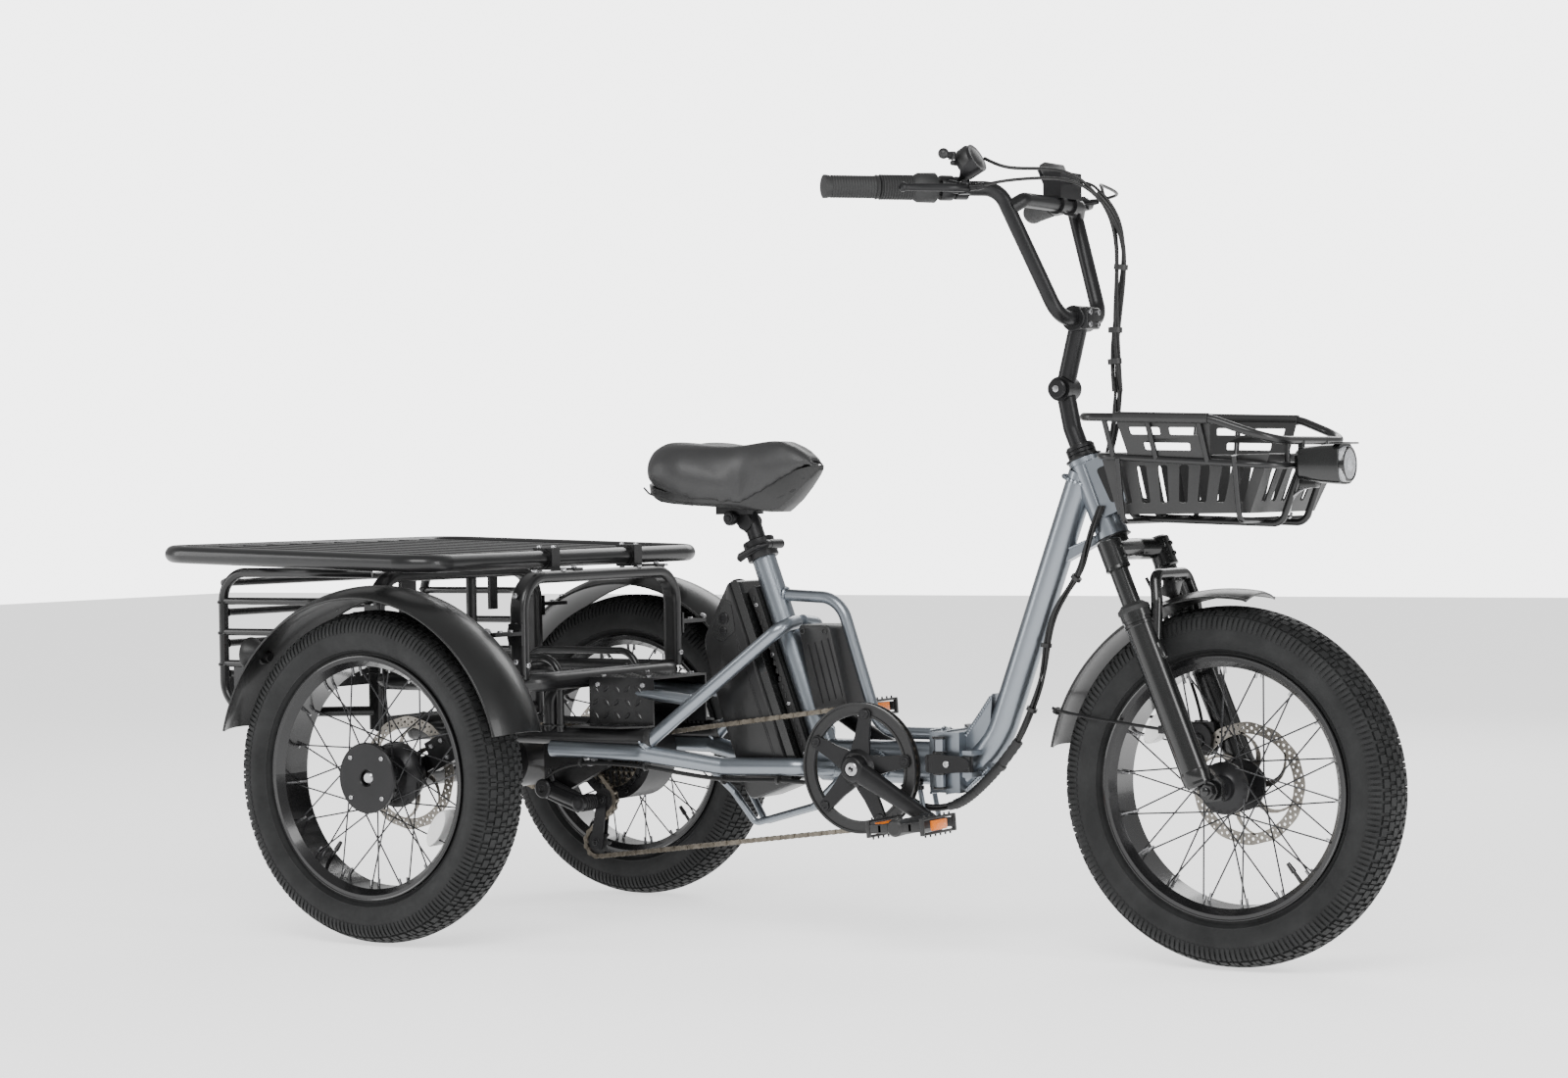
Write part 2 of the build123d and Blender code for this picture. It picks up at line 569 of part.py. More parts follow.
def crankset():
    a = rad(CRANK_ANGLE)
    part = sprocket(RING_TEETH, 1.8, CHAIN_Y, BB)
    part -= ydisc(72, CHAIN_Y - 3, CHAIN_Y + 3, *BB)
    part += ring_y(100, 80, CHAIN_Y - 8, CHAIN_Y - 4.4, *BB)
    part += ring_y(100, 84, CHAIN_Y + 4.4, CHAIN_Y + 6.4, *BB)
    for i in range(5):
        t = rad(CRANK_ANGLE + 36 + 72 * i)
        tip = polar(BB, 84, t)
        root = polar(BB, 20, t)
        part += bar((root[0], CHAIN_Y - 4, root[1]), (tip[0], CHAIN_Y - 4, tip[1]), 6.5)
        part += ydisc(6, CHAIN_Y - 9, CHAIN_Y + 7, *polar(BB, 82, t))
    part += ydisc(24, CHAIN_Y - 12, CHAIN_Y + 6, *BB) + ydisc(12, -90, 90, *BB)
    for y, s in ((-1, 1), (1, -1)):
        end = (BB[0] + s * CRANK_LEN * cos(a), BB[1] + s * CRANK_LEN * sin(a))
        hub_y = y * 80
        tip_y = y * 97
        part += bar((BB[0], hub_y, BB[1]), (end[0], tip_y, end[1]), 11)
        part += ydisc(17, hub_y - 9, hub_y + 9, *BB)
        part += ydisc(13, tip_y - 8, tip_y + 8, *end)
        part += ydisc(5, tip_y, y * 200, *end)
    return part


write("crankset", crankset())


def pedal(side):
    a = rad(CRANK_ANGLE)
    s = 1 if side < 0 else -1
    cx = BB[0] + s * CRANK_LEN * cos(a)
    cz = BB[1] + s * CRANK_LEN * sin(a)
    y0, y1 = side * 108, side * 204
    part = box(cx - 48, cx + 48, y0, y1, cz - 12, cz + 12)
    for x in (-28, 28):
        part -= box(cx + x - 14, cx + x + 14, y0 + side * 10, y1 - side * 10, cz - 20, cz + 20)
    part += ydisc(14, y0, y1, cx, cz)
    part -= ydisc(5 + RUN, y0 - side * 5, y1 - side * 4 + side * 0.5, cx, cz)
    return part


write("pedal_right", pedal(-1))
write("pedal_left", pedal(1))


def loop_wire(circles, grow):
    # closed path of tangent lines and arcs round circles given as (centre, radius, sense)
    rings = [(c, r + s * grow, s) for c, r, s in circles]
    ends = []
    for i, (c1, r1, s1) in enumerate(rings):
        c2, r2, s2 = rings[(i + 1) % len(rings)]
        dx, dz = c2[0] - c1[0], c2[1] - c1[1]
        k = s2 * r2 - s1 * r1
        a = atan2(dz, dx) - asin(k / hypot(dx, dz))
        n = (-sin(a), cos(a))
        ends.append(((c1[0] - s1 * r1 * n[0], c1[1] - s1 * r1 * n[1]),
                     (c2[0] - s2 * r2 * n[0], c2[1] - s2 * r2 * n[1])))
    wire = None
    for i, (c, r, s) in enumerate(rings):
        p = ends[i - 1][1]
        q = ends[i][0]
        a0 = atan2(p[1] - c[1], p[0] - c[0])
        a1 = atan2(q[1] - c[1], q[0] - c[0])
        sweep_a = (a1 - a0) % (2 * pi) if s > 0 else -((a0 - a1) % (2 * pi))
        mid = polar(c, r, a0 + sweep_a / 2)
        arc = ThreePointArc((p[0], 0, p[1]), (mid[0], 0, mid[1]), (q[0], 0, q[1]))
        line = Line((q[0], 0, q[1]), (ends[i][1][0], 0, ends[i][1][1]))
        wire = arc + line if wire is None else wire + arc + line
    return make_face(wire), ends


def chain(circles, y, pins):
    outer, _ = loop_wire(circles, 4.0)
    inner, _ = loop_wire(circles, -4.0)
    _, ends = loop_wire(circles, 0.0)
    band = extrude(outer, amount=1.2, dir=(0, 1, 0)) - extrude(inner, amount=1.2, dir=(0, 1, 0))
    part = Pos(0, y - 3.4, 0) * band + Pos(0, y + 2.2, 0) * band
    for index in pins:
        p, q = ends[index]
        length = hypot(q[0] - p[0], q[1] - p[1])
        count = int(length / (2 * PITCH)) - 1
        for i in range(1, count):
            f = (i + 0.5) / (count + 1)
            at = (p[0] + f * (q[0] - p[0]), p[1] + f * (q[1] - p[1]))
            part += ydisc(2, y - 3, y + 3, *at)
    return part


MAIN_LOOP = [(BB, pitch_r(RING_TEETH), 1), (HUB, pitch_r(COGS[0]), 1),
             (GUIDE, pitch_r(11), -1), (TENSION, pitch_r(11), 1)]
write("chain", chain(MAIN_LOOP, CHAIN_Y, (0, 3)))
AXLE = (0.0, WHEEL_R)
FINAL_LOOP = [(HUB, pitch_r(FINAL_TEETH[0]), 1), (AXLE, pitch_r(FINAL_TEETH[1]), 1)]
write("final_chain", chain(FINAL_LOOP, FINAL_Y, (0, 1)))


def motor():
    part = ydisc(MOTOR_R, -27, 46, *HUB) + ydisc(MOTOR_R - 14, -30, 50, *HUB)
    for i, teeth in enumerate(COGS):
        part += sprocket(teeth, 1.8, CHAIN_Y + COG_STEP * i, HUB)
    part += ydisc(15.5, CHAIN_Y - 3, -28, *HUB) + ydisc(18, 48, 62, *HUB)
    part += sprocket(FINAL_TEETH[0], 1.8, FINAL_Y, HUB)
    return part - ydisc(7 + RUN, -80, 80, *HUB)


write("motor_gears", motor())
for name, c in (("guide_pulley", GUIDE), ("tension_pulley", TENSION)):
    wheel = sprocket(11, 1.8, CHAIN_Y, c) + ydisc(12, CHAIN_Y - 3, CHAIN_Y + 3, *c)
    write(name, wheel - ydisc(3 + RUN, CHAIN_Y - 5, CHAIN_Y + 5, *c))


def derailleur():
    part = None
    for y0 in (CHAIN_Y - 6.5, CHAIN_Y + 4.6):
        plate = slab_xz([(TENSION[0] - 12, TENSION[1] - 8), (TENSION[0] + 12, TENSION[1] - 10),
                         (GUIDE[0] + 9, GUIDE[1] + 6), (GUIDE[0] - 9, GUIDE[1] + 8)], y0, y0 + 1.9)
        part = plate if part is None else part + plate
    for c in (GUIDE, TENSION):
        part += ydisc(3, CHAIN_Y - 6.5, CHAIN_Y + 6.5, *c)
    part += bar((136, -98, 226), (206, -98, 204), 12) + ydisc(15, -110, -84.3, 136, 226)
    part += ydisc(12, -108, CHAIN_Y - 6, 206, 204)
    return part


write("derailleur", derailleur())


# ---------------------------------------------------------------- cargo frame
def cargo_base():
    x0, x1, c = HOOP_REAR_X - 15, HOOP_FRONT_X + 16, 60
    ring = None
    corners = [(x1, 0), (x1, RING_HALF_Y), (x0, RING_HALF_Y), (x0, 0)]
    half = bent([(x, y, RING_Z) for x, y in corners], TUBE_R, c)
    ring = half + mirrored(half)
    part = ring
    for y in (-1, 1):
        low = bar((-140, y * LOW_TUBE_Y, LOW_TUBE_Z), (341, y * LOW_TUBE_Y, LOW_TUBE_Z), TUBE_R)
        rise = bent([(146, y * LOW_TUBE_Y, 318), (146, y * LOW_TUBE_Y, 380),
                     (186, y * 70, 402)], 14, 30)
        rod = bent([(172, y * 107, 318), (172, y * 107, 437), (-60, y * 107, 437),
                    (-60, y * 107, 318)], 6, 36)
        pad = box(-22, 22, y * (LOW_TUBE_Y - 14), y * (LOW_TUBE_Y + 14), 262, 304)
        plate = slab_xz([(120, 318), (120, 222), (150, 214), (246, 262), (250, 300)],
                        y * 72, y * 84)
        part += low + rise + rod + pad + plate
    part += bar((HOOP_REAR_X, -HOOP_HALF_Y, 330), (HOOP_REAR_X, HOOP_HALF_Y, 330), 12)
    part -= ydisc(7, -90, 90, *HUB)
    part += ydisc(7, -92, -72, *HUB) + ydisc(7, 72, 92, *HUB)
    part += ydisc(7, -72, 72, *HUB)
    part += ring_y(11, 7, -92, -84, *HUB) + ring_y(11, 7, 84, 92, *HUB)
    return part - ydisc(24.2, -300, 300, 0, WHEEL_R)


write("cargo_base", cargo_base())


def hoop(x, foot, top):
    y = HOOP_HALF_Y
    points = [(x, -y, foot), (x, -y, top), (x, y, top), (x, y, foot)]
    path = FilletPolyline(*points, radius=52)
    section = Plane(origin=path @ 0, x_dir=(1, 0, 0), z_dir=path % 0)
    return sweep(section * RectangleRounded(30, 19, 8), path=path)


front_hoop = hoop(HOOP_FRONT_X, 408, HOOP_FRONT_TOP)
rear_hoop = hoop(HOOP_REAR_X, 322, HOOP_REAR_TOP)
rear_hoop += box(HOOP_REAR_X - 3, HOOP_REAR_X + 1, -145, -108, 500, HOOP_REAR_TOP)
rear_hoop += bar((HOOP_REAR_X, 38, 332), (HOOP_REAR_X, 38, HOOP_REAR_TOP), 9)
rear_hoop += box(HOOP_REAR_X - 3, HOOP_REAR_X + 3, 86, 106, 505, HOOP_REAR_TOP)
write("hoops", front_hoop + rear_hoop)


def tail_guard():
    part = None
    for y in (-1, 1):
        side = bent([(HOOP_REAR_X - 4, y * 214, 575), (-205, y * GUARD_Y, 578),
                     (GUARD_X, y * GUARD_Y, 578), (GUARD_X, y * GUARD_Y, 352),
                     (-205, y * GUARD_Y, 352), (HOOP_REAR_X - 4, y * 214, 352)], 8, 48)
        for z in (531, 480, 428):
            side += bent([(GUARD_X, y * GUARD_Y, z), (-205, y * GUARD_Y, z),
                          (HOOP_REAR_X - 4, y * 216, z)], 6, 40)
        side += box(GUARD_X + 20, -205, y * (GUARD_Y - 2), y * GUARD_Y, 354, 426)
        part = side if part is None else part + side
    for z in (561, 512, 461, 410):
        part += bar((GUARD_X, -GUARD_Y, z), (GUARD_X, GUARD_Y, z), 6)
    part += box(GUARD_X - 1, GUARD_X + 1, -GUARD_Y, GUARD_Y, 372, 410)
    return part


write("tail_guard", tail_guard())


def platform():
    cx = (PLAT_FRONT + PLAT_REAR) / 2
    half_x = (PLAT_FRONT - PLAT_REAR) / 2
    hy = PLAT_HALF_Y
    pts = [(0, -hy, 0), (half_x, -hy, 0), (half_x, hy, 0), (-half_x, hy, 0), (-half_x, -hy, 0),
           (-1, -hy, 0)]
    rail = bent(pts, PLAT_RAIL_R, 55)
    part = rail + bar((-2, -hy, 0), (1, -hy, 0), PLAT_RAIL_R)
    for y in range(-5, 6):
        part += box(-half_x, half_x, y * 58 - 11, y * 58 + 11, 2, 10)
    for x in (-half_x * 0.6, 0, half_x * 0.6):
        part += box(x - 11, x + 11, -hy, hy, -10, 3)
    lift = (PLAT_FRONT - cx) * sin(rad(PLAT_TILT))
    return Pos(cx, 0, PLAT_Z + lift) * Rot(0, PLAT_TILT, 0) * part


def platform_mounts():
    part = None
    for y in (-64, 165):
        post = box(PLAT_FRONT - 19, PLAT_FRONT + 19, y - 11, y + 11, 576, 612)
        post -= ydisc(PLAT_RAIL_R + 0.1, y - 20, y + 20, PLAT_FRONT, PLAT_Z)
        post += box(PLAT_FRONT + 16, HOOP_FRONT_X + 10, y - 11, y + 11, 574, 580)
        part = post if part is None else part + post
    for y in (-150, 150):
        part += box(HOOP_REAR_X - 14, HOOP_REAR_X + 14, y - 14, y + 14, 576, 588.4)
    return part


write("platform", platform())


def step_plates():
    part = box(206, 331, -75, 75, 402, 405)
    for y in (-1, 1):
        part += box(206, 331, y * 72, y * 75, 330, 405)
        outer = [(206, y * 72), (206, y * 127), (296, y * 127), (331, y * 96), (331, y * 72)]
        low = make_face(Polyline(*[(x, yy, 327.2) for x, yy in outer], close=True))
        part += extrude(low, amount=3, dir=(0, 0, 1))
    return part


write("step_plates", step_plates())


def rear_axle():
    part = ydisc(24, -268, 268, 0, WHEEL_R)
    part += ydisc(46, -30, 40, 0, WHEEL_R) + sprocket(FINAL_TEETH[1], 1.8, FINAL_Y, AXLE)
    for y in (-1, 1):
        part -= ydisc(12, y * 200, y * 270, 0, WHEEL_R)
    return part


write("rear_axle", rear_axle())


def rear_caliper():
    # straddles the rotor's edge, ahead of and above the axle
    cal = box(62, 108, -297, -264, -24, 24) - box(50, ROTOR_R + 3, -282.5, -275.5, -30, 30)
    cal += box(14, 64, -274, -268, -12, 12)
    placed = Pos(0, 0, WHEEL_R) * Rot(0, -26, 0) * cal
    return placed - ydisc(24, -300, -200, 0, WHEEL_R) - ydisc(37, -300, -275, 0, WHEEL_R)


write("rear_calipers", both(rear_caliper()))
guard_right = RIGHT * Rot(0, 0, 180) * arched(FENDER_R, FENDER_R - 17, FENDER_HALF_W, 3, 14, 165)
write("rear_fenders", both(guard_right))
arm = box(160, 186, -290, -219.6, 478, 484) + box(160, 186, -224, -219.6, 462, 496)
arm += box(-134, -106, -290, -219.6, 506, 512) + box(-134, -106, -224, -219.6, 490, 524)
arm -= ydisc(FENDER_R - 17.5, -300, -288, 0, WHEEL_R)
write("brackets", both(arm) + platform_mounts())
cone = Plane(origin=(-238, -350, 449), z_dir=(-1, 0, 0)) * Cone(14, 26, 30)
lamp = cone - ydisc(FENDER_R + 0.1, -420, -280, 0, WHEEL_R)
write("tail_lamps", both(lamp))
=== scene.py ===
import math
from math import cos, pi, radians, sin

import bmesh
import bpy
from mathutils import Matrix, Vector


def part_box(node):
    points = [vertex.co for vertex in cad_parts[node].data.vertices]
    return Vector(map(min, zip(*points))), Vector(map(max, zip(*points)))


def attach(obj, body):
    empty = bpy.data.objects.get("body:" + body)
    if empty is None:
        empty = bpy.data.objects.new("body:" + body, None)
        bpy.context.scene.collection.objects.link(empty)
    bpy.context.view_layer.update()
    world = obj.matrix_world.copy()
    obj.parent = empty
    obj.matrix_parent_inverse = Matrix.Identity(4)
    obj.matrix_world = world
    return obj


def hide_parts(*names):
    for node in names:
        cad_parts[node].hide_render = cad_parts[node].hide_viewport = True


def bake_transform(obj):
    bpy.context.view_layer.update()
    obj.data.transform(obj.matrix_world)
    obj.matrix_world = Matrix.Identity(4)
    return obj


# Folding cargo tricycle. Lengths below are millimetres from the rear axle line, +X forward,
# +Y left, +Z up from the floor; at() turns them into the frame's metres.
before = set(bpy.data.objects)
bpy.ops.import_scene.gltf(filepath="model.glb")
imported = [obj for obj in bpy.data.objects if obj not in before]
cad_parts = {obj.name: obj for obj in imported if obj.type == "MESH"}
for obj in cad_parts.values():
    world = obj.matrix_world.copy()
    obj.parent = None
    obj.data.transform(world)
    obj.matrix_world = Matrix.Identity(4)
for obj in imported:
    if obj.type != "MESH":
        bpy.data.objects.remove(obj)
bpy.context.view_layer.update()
AXLE_LOW, AXLE_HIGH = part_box("rear_right_tyre")
AXLE_X = (AXLE_LOW.x + AXLE_HIGH.x) / 2
MM = 0.001

WHEEL_R = 261.0
WHEELBASE = 1300.0
TRACK_HALF = 350.0
BB = (709.0, 274.0)
HUB = (218.0, 278.0)
CHAIN_Y = -61.0
PITCH = 12.7
COGS, COG_STEP = (11, 13, 15, 18, 21, 24, 28), 4.8
CRANK_ANGLE = radians(-27.2)
CRANK_LEN = 160.0
HEAD_TILT = radians(21.8)
HEAD_MID = (1089.2, 679.75)
SEAT_TOP = (488.5, 613.4)
SEAT_FOOT = (616.0, 272.0)
HOOP_FRONT, HOOP_REAR, HOOP_Y = 172.0, -120.0, 219.0
PLAT_FRONT, PLAT_Z = 117.0, 594.0
PLAT_FOOT_Y = (-64, 165)
TUBE_Y = 95.0
LEG_Y, LEG_N = 78.0, 28.0
SIDES = (-1, 1)


def at(x, y, z):
    return Vector((AXLE_X + x * MM, y * MM, z * MM))


FORK_DOWN = Vector((sin(HEAD_TILT), 0, -cos(HEAD_TILT)))
FORK_FWD = Vector((cos(HEAD_TILT), 0, sin(HEAD_TILT)))


def fork_at(s, n, y=0.0):
    # s down along the steering axis, n forward of it
    return (HEAD_MID[0] + s * FORK_DOWN.x + n * FORK_FWD.x, y,
            HEAD_MID[1] + s * FORK_DOWN.z + n * FORK_FWD.z)


SEAT_DIR = Vector((SEAT_TOP[0] - SEAT_FOOT[0], 0, SEAT_TOP[1] - SEAT_FOOT[1])).normalized()


def seat_at(a, b, y=0.0):
    # a up along the seat tube from its top, b behind it
    return (SEAT_TOP[0] + a * SEAT_DIR.x - b * SEAT_DIR.z, y,
            SEAT_TOP[1] + a * SEAT_DIR.z + b * SEAT_DIR.x)


BEND = Vector((992, -112, 1134))
TIP = Vector((818, -313, 1135))
GRIP_DIR = (TIP - BEND).normalized()
GRIP_FWD = Vector((0.769, -0.639, 0))
GRIP_LEN = (TIP - BEND).length


def grip_at(t, f=0.0, u=0.0, side=-1):
    # t outward along the grip from its bend, f forward, u up
    p = BEND + GRIP_DIR * t + GRIP_FWD * f + Vector((0, 0, u))
    return (p.x, p.y * -side, p.z)


def grip_axis(side=-1):
    return Vector(grip_at(1, side=side)) - Vector(grip_at(0, side=side))


# ---------------------------------------------------------------- materials
def new_material(name):
    m = bpy.data.materials.new(name)
    m.use_nodes = True
    return m, m.node_tree, m.node_tree.nodes["Principled BSDF"]


def noise_node(tree, scale, detail=4.0, rough=0.5):
    coords = tree.nodes.new("ShaderNodeTexCoord")
    noise = tree.nodes.new("ShaderNodeTexNoise")
    noise.inputs["Scale"].default_value = scale
    noise.inputs["Detail"].default_value = detail
    noise.inputs["Roughness"].default_value = rough
    tree.links.new(coords.outputs["Object"], noise.inputs["Vector"])
    return noise


def ramp_between(tree, factor, low, high):
    ramp = tree.nodes.new("ShaderNodeValToRGB")
    ramp.color_ramp.elements[0].position = 0.3
    ramp.color_ramp.elements[1].position = 0.7
    ramp.color_ramp.elements[0].color = (*low, 1)
    ramp.color_ramp.elements[1].color = (*high, 1)
    tree.links.new(factor, ramp.inputs["Fac"])
    return ramp.outputs["Color"]


def add_bump(tree, bsdf, height, strength, distance):
    bump = tree.nodes.new("ShaderNodeBump")
    bump.inputs["Strength"].default_value = strength
    bump.inputs["Distance"].default_value = distance
    tree.links.new(height, bump.inputs["Height"])
    tree.links.new(bump.outputs["Normal"], bsdf.inputs["Normal"])


def finish_material(name, dark, light, rough, metal=0.0, coat=0.0, colour_scale=9.0,
                    bump_scale=900.0, bump=0.1, rough_span=0.06, specular=0.5):
    m, tree, bsdf = new_material(name)
    patches = noise_node(tree, colour_scale, 5.0, 0.6)
    colour = ramp_between(tree, patches.outputs["Fac"], dark, light)
    tree.links.new(colour, bsdf.inputs["Base Color"])
    bsdf.inputs["Metallic"].default_value = metal
    bsdf.inputs["Coat Weight"].default_value = coat
    bsdf.inputs["Coat Roughness"].default_value = 0.08
    bsdf.inputs["Specular IOR Level"].default_value = specular
    grime = noise_node(tree, colour_scale * 7, 6.0, 0.65)
    spread = tree.nodes.new("ShaderNodeMapRange")
    spread.inputs["To Min"].default_value = max(0.02, rough - rough_span)
    spread.inputs["To Max"].default_value = rough + rough_span
    tree.links.new(grime.outputs["Fac"], spread.inputs["Value"])
    tree.links.new(spread.outputs["Result"], bsdf.inputs["Roughness"])
    fine = noise_node(tree, bump_scale, 2.0)
    add_bump(tree, bsdf, fine.outputs["Fac"], bump, 0.0002)
    return m


def grained_material(name, dark, light, rough, cell, strength, distance=0.0004):
    m, tree, bsdf = new_material(name)
    patches = noise_node(tree, 14.0, 4.0)
    tree.links.new(ramp_between(tree, patches.outputs["Fac"], dark, light),
                   bsdf.inputs["Base Color"])
    bsdf.inputs["Roughness"].default_value = rough
    coords = tree.nodes.new("ShaderNodeTexCoord")
    cells = tree.nodes.new("ShaderNodeTexVoronoi")
    cells.feature = "SMOOTH_F1"
    cells.inputs["Scale"].default_value = cell
    tree.links.new(coords.outputs["Object"], cells.inputs["Vector"])
    add_bump(tree, bsdf, cells.outputs["Distance"], strength, distance)
    return m


def lens_material(name, colour, rough, transmission):
    m, tree, bsdf = new_material(name)
    facets = noise_node(tree, 260.0, 1.0)
    tree.links.new(ramp_between(tree, facets.outputs["Fac"], [c * 0.8 for c in colour], colour),
                   bsdf.inputs["Base Color"])
    bsdf.inputs["Roughness"].default_value = rough
    bsdf.inputs["Transmission Weight"].default_value = transmission
    coords = tree.nodes.new("ShaderNodeTexCoord")
    prism = tree.nodes.new("ShaderNodeTexVoronoi")
    prism.inputs["Scale"].default_value = 330.0
    tree.links.new(coords.outputs["Object"], prism.inputs["Vector"])
    add_bump(tree, bsdf, prism.outputs["Distance"], 0.5, 0.0006)
    return m


GREY = finish_material("grey_paint", (0.200, 0.222, 0.248), (0.226, 0.248, 0.274), 0.33, 0.9,
                       0.3, colour_scale=5.0, bump_scale=520.0, bump=0.015, rough_span=0.03)
BLACK = finish_material("black_paint", (0.0060, 0.0060, 0.0064), (0.0100, 0.0100, 0.0105), 0.33,
                        0.0, 0.18, bump_scale=480.0, bump=0.10, specular=0.35)
GLOSS = finish_material("gloss_black", (0.0040, 0.0042, 0.0042), (0.0070, 0.0074, 0.0074), 0.24,
                        0.0, 0.35, bump_scale=300.0, bump=0.04, specular=0.4)
GUARD = finish_material("guard_plastic", (0.0045, 0.0046, 0.0046), (0.0072, 0.0075, 0.0075), 0.35,
                        0.0, 0.12, bump_scale=260.0, bump=0.02, rough_span=0.03, specular=0.38)
ANODISED = finish_material("black_anodised", (0.0075, 0.0075, 0.0080), (0.013, 0.013, 0.014), 0.34,
                           0.35, 0.0, bump_scale=1500.0, bump=0.12, specular=0.4)
STEEL = finish_material("bare_steel", (0.36, 0.36, 0.37), (0.50, 0.50, 0.51), 0.28, 1.0, 0.0,
                        colour_scale=22.0, bump_scale=1800.0, bump=0.15)
SPOKE = finish_material("spoke_steel", (0.030, 0.030, 0.032), (0.065, 0.065, 0.067), 0.30, 1.0,
                        0.0, colour_scale=30.0)
ROTOR = finish_material("rotor_steel", (0.20, 0.185, 0.165), (0.30, 0.28, 0.25), 0.36, 1.0, 0.0,
                        colour_scale=34.0, bump_scale=1600.0, bump=0.2)
CHAIN_METAL = finish_material("chain_steel", (0.10, 0.088, 0.070), (0.24, 0.215, 0.18), 0.36, 1.0,
                              0.0, colour_scale=60.0)
RUBBER = finish_material("tyre_rubber", (0.0085, 0.0088, 0.0090), (0.0185, 0.0190, 0.0192), 0.60,
                         0.0, 0.0, colour_scale=22.0, bump_scale=700.0, bump=0.35,
                         rough_span=0.14, specular=0.22)
RIM_MAT = finish_material("rim_black", (0.0060, 0.0060, 0.0065), (0.0110, 0.0110, 0.0115), 0.22,
                          0.3, 0.3, bump_scale=600.0, bump=0.06, specular=0.5)
CASE = finish_material("battery_plastic", (0.0060, 0.0060, 0.0062), (0.0095, 0.0095, 0.0098), 0.34,
                       0.0, 0.1, bump_scale=1200.0, bump=0.08, specular=0.42)
PLASTIC = grained_material("grained_plastic", (0.0075, 0.0075, 0.0077), (0.0120, 0.0120, 0.0122),
                           0.44, 1300.0, 0.22, 0.0002)
GRIP_MAT = grained_material("grip_rubber", (0.0085, 0.0087, 0.0090), (0.0145, 0.0148, 0.0150),
                            0.62, 1500.0, 0.35, 0.0003)
COVER = grained_material("saddle_vinyl", (0.0165, 0.0165, 0.0170), (0.0250, 0.0250, 0.0255), 0.47,
                         850.0, 0.45, 0.0004)
CABLE = finish_material("cable_jacket", (0.0060, 0.0060, 0.0060), (0.0110, 0.0110, 0.0110), 0.38,
                        0.0, 0.0, colour_scale=40.0, specular=0.35)
WHITE_TRIM = finish_material("white_reflector", (0.62, 0.62, 0.62), (0.80, 0.80, 0.79), 0.25)
RED = lens_material("red_lens", (0.45, 0.008, 0.012), 0.15, 0.25)
ORANGE = lens_material("orange_reflector", (0.85, 0.20, 0.01), 0.2, 0.1)
CLEAR = lens_material("clear_lens", (0.85, 0.87, 0.9), 0.06, 0.6)
SCREEN = finish_material("screen_glass", (0.010, 0.012, 0.014), (0.016, 0.018, 0.022), 0.08,
                         coat=1.0, bump=0.0)

CAD_LOOK = {
    GREY: ("rear_frame", "front_frame"),
    BLACK: ("cargo_base", "step_plates", "hoops", "tail_guard", "platform", "rear_axle",
            "brackets", "basket_frame"),
    GLOSS: ("rear_fenders", "front_fender", "fork_lowers", "fork_upper"),
    ANODISED: ("fold_latch", "seat_lever", "seat_clamp", "seatpost", "stem_quill", "handlebar",
               "motor_gears", "brake_lever_right", "brake_lever_left", "derailleur",
               "rear_calipers", "bar_controls"),
    STEEL: ("fold_pin",),
    SPOKE: ("front_spokes", "rear_right_spokes", "rear_left_spokes"),
    RIM_MAT: ("front_rim", "rear_right_rim", "rear_left_rim"),
    PLASTIC: ("battery", "battery_rail", "controller_box", "basket_liner", "headlamp",
              "guide_pulley", "tension_pulley", "pedal_right", "pedal_left", "shift_paddle"),
    GRIP_MAT: ("grips", "throttle_twist"),
    CABLE: ("bar_cables", "front_cables", "rear_cables"),
    CHAIN_METAL: ("chain", "final_chain"),
}

SLOT_OF = {GREY: "frame_grey", BLACK: "cargo_black", RUBBER: "tyre_black", RIM_MAT: "rim_black",
           STEEL: "steel", ROTOR: "steel", CHAIN_METAL: "chain_steel", ANODISED: "black_metal",
           GLOSS: "black_metal", GUARD: "black_metal", SCREEN: "black_metal",
           CASE: "black_plastic", PLASTIC: "black_plastic", COVER: "saddle_cover",
           GRIP_MAT: "grip_rubber", CABLE: "cable_black", RED: "red_lens"}


def dress_frame():
    for name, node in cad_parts.items():
        node.data.materials.clear()
        node.data.materials.append(BLACK)
    for material, names in CAD_LOOK.items():
        for name in names:
            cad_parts[name].data.materials[0] = material


# ---------------------------------------------------------------- camera, light and floor
CAMERA_AT = (3345.9, -4331.4, 701.2)
CAMERA_AZ = radians(32.985)
CAMERA_EL = radians(0.874)
CAMERA_ROLL = radians(-0.971)
PHOTO_W = 1600.0
FOCAL_SHARE = 3362.1 / PHOTO_W
SENSOR = 36.0


def make_camera():
    back = Vector((sin(CAMERA_AZ) * cos(CAMERA_EL), -cos(CAMERA_AZ) * cos(CAMERA_EL),
                   sin(CAMERA_EL)))
    right = (-back).cross(Vector((0, 0, 1))).normalized()
    up = right.cross(-back).normalized()
    c, s = cos(CAMERA_ROLL), sin(CAMERA_ROLL)
    turn = Matrix((c * right + s * up, c * up - s * right, back)).transposed()
    data = bpy.data.cameras.new("camera")
    data.sensor_width = SENSOR
    data.lens = SENSOR * FOCAL_SHARE
    data.clip_start, data.clip_end = 0.05, 60.0
    cam = bpy.data.objects.new("camera", data)
    bpy.context.scene.collection.objects.link(cam)
    cam.matrix_world = Matrix.Translation(at(*CAMERA_AT)) @ turn.to_4x4()
    bpy.context.scene.camera = cam


def area_light(name, place, target, size, power):
    data = bpy.data.lights.new(name, "AREA")
    data.shape = "RECTANGLE"
    data.size, data.size_y = size
    data.energy = power
    lamp = bpy.data.objects.new(name, data)
    bpy.context.scene.collection.objects.link(lamp)
    lamp.location = place
    lamp.rotation_euler = (Vector(target) - Vector(place)).to_track_quat("-Z", "Y").to_euler()


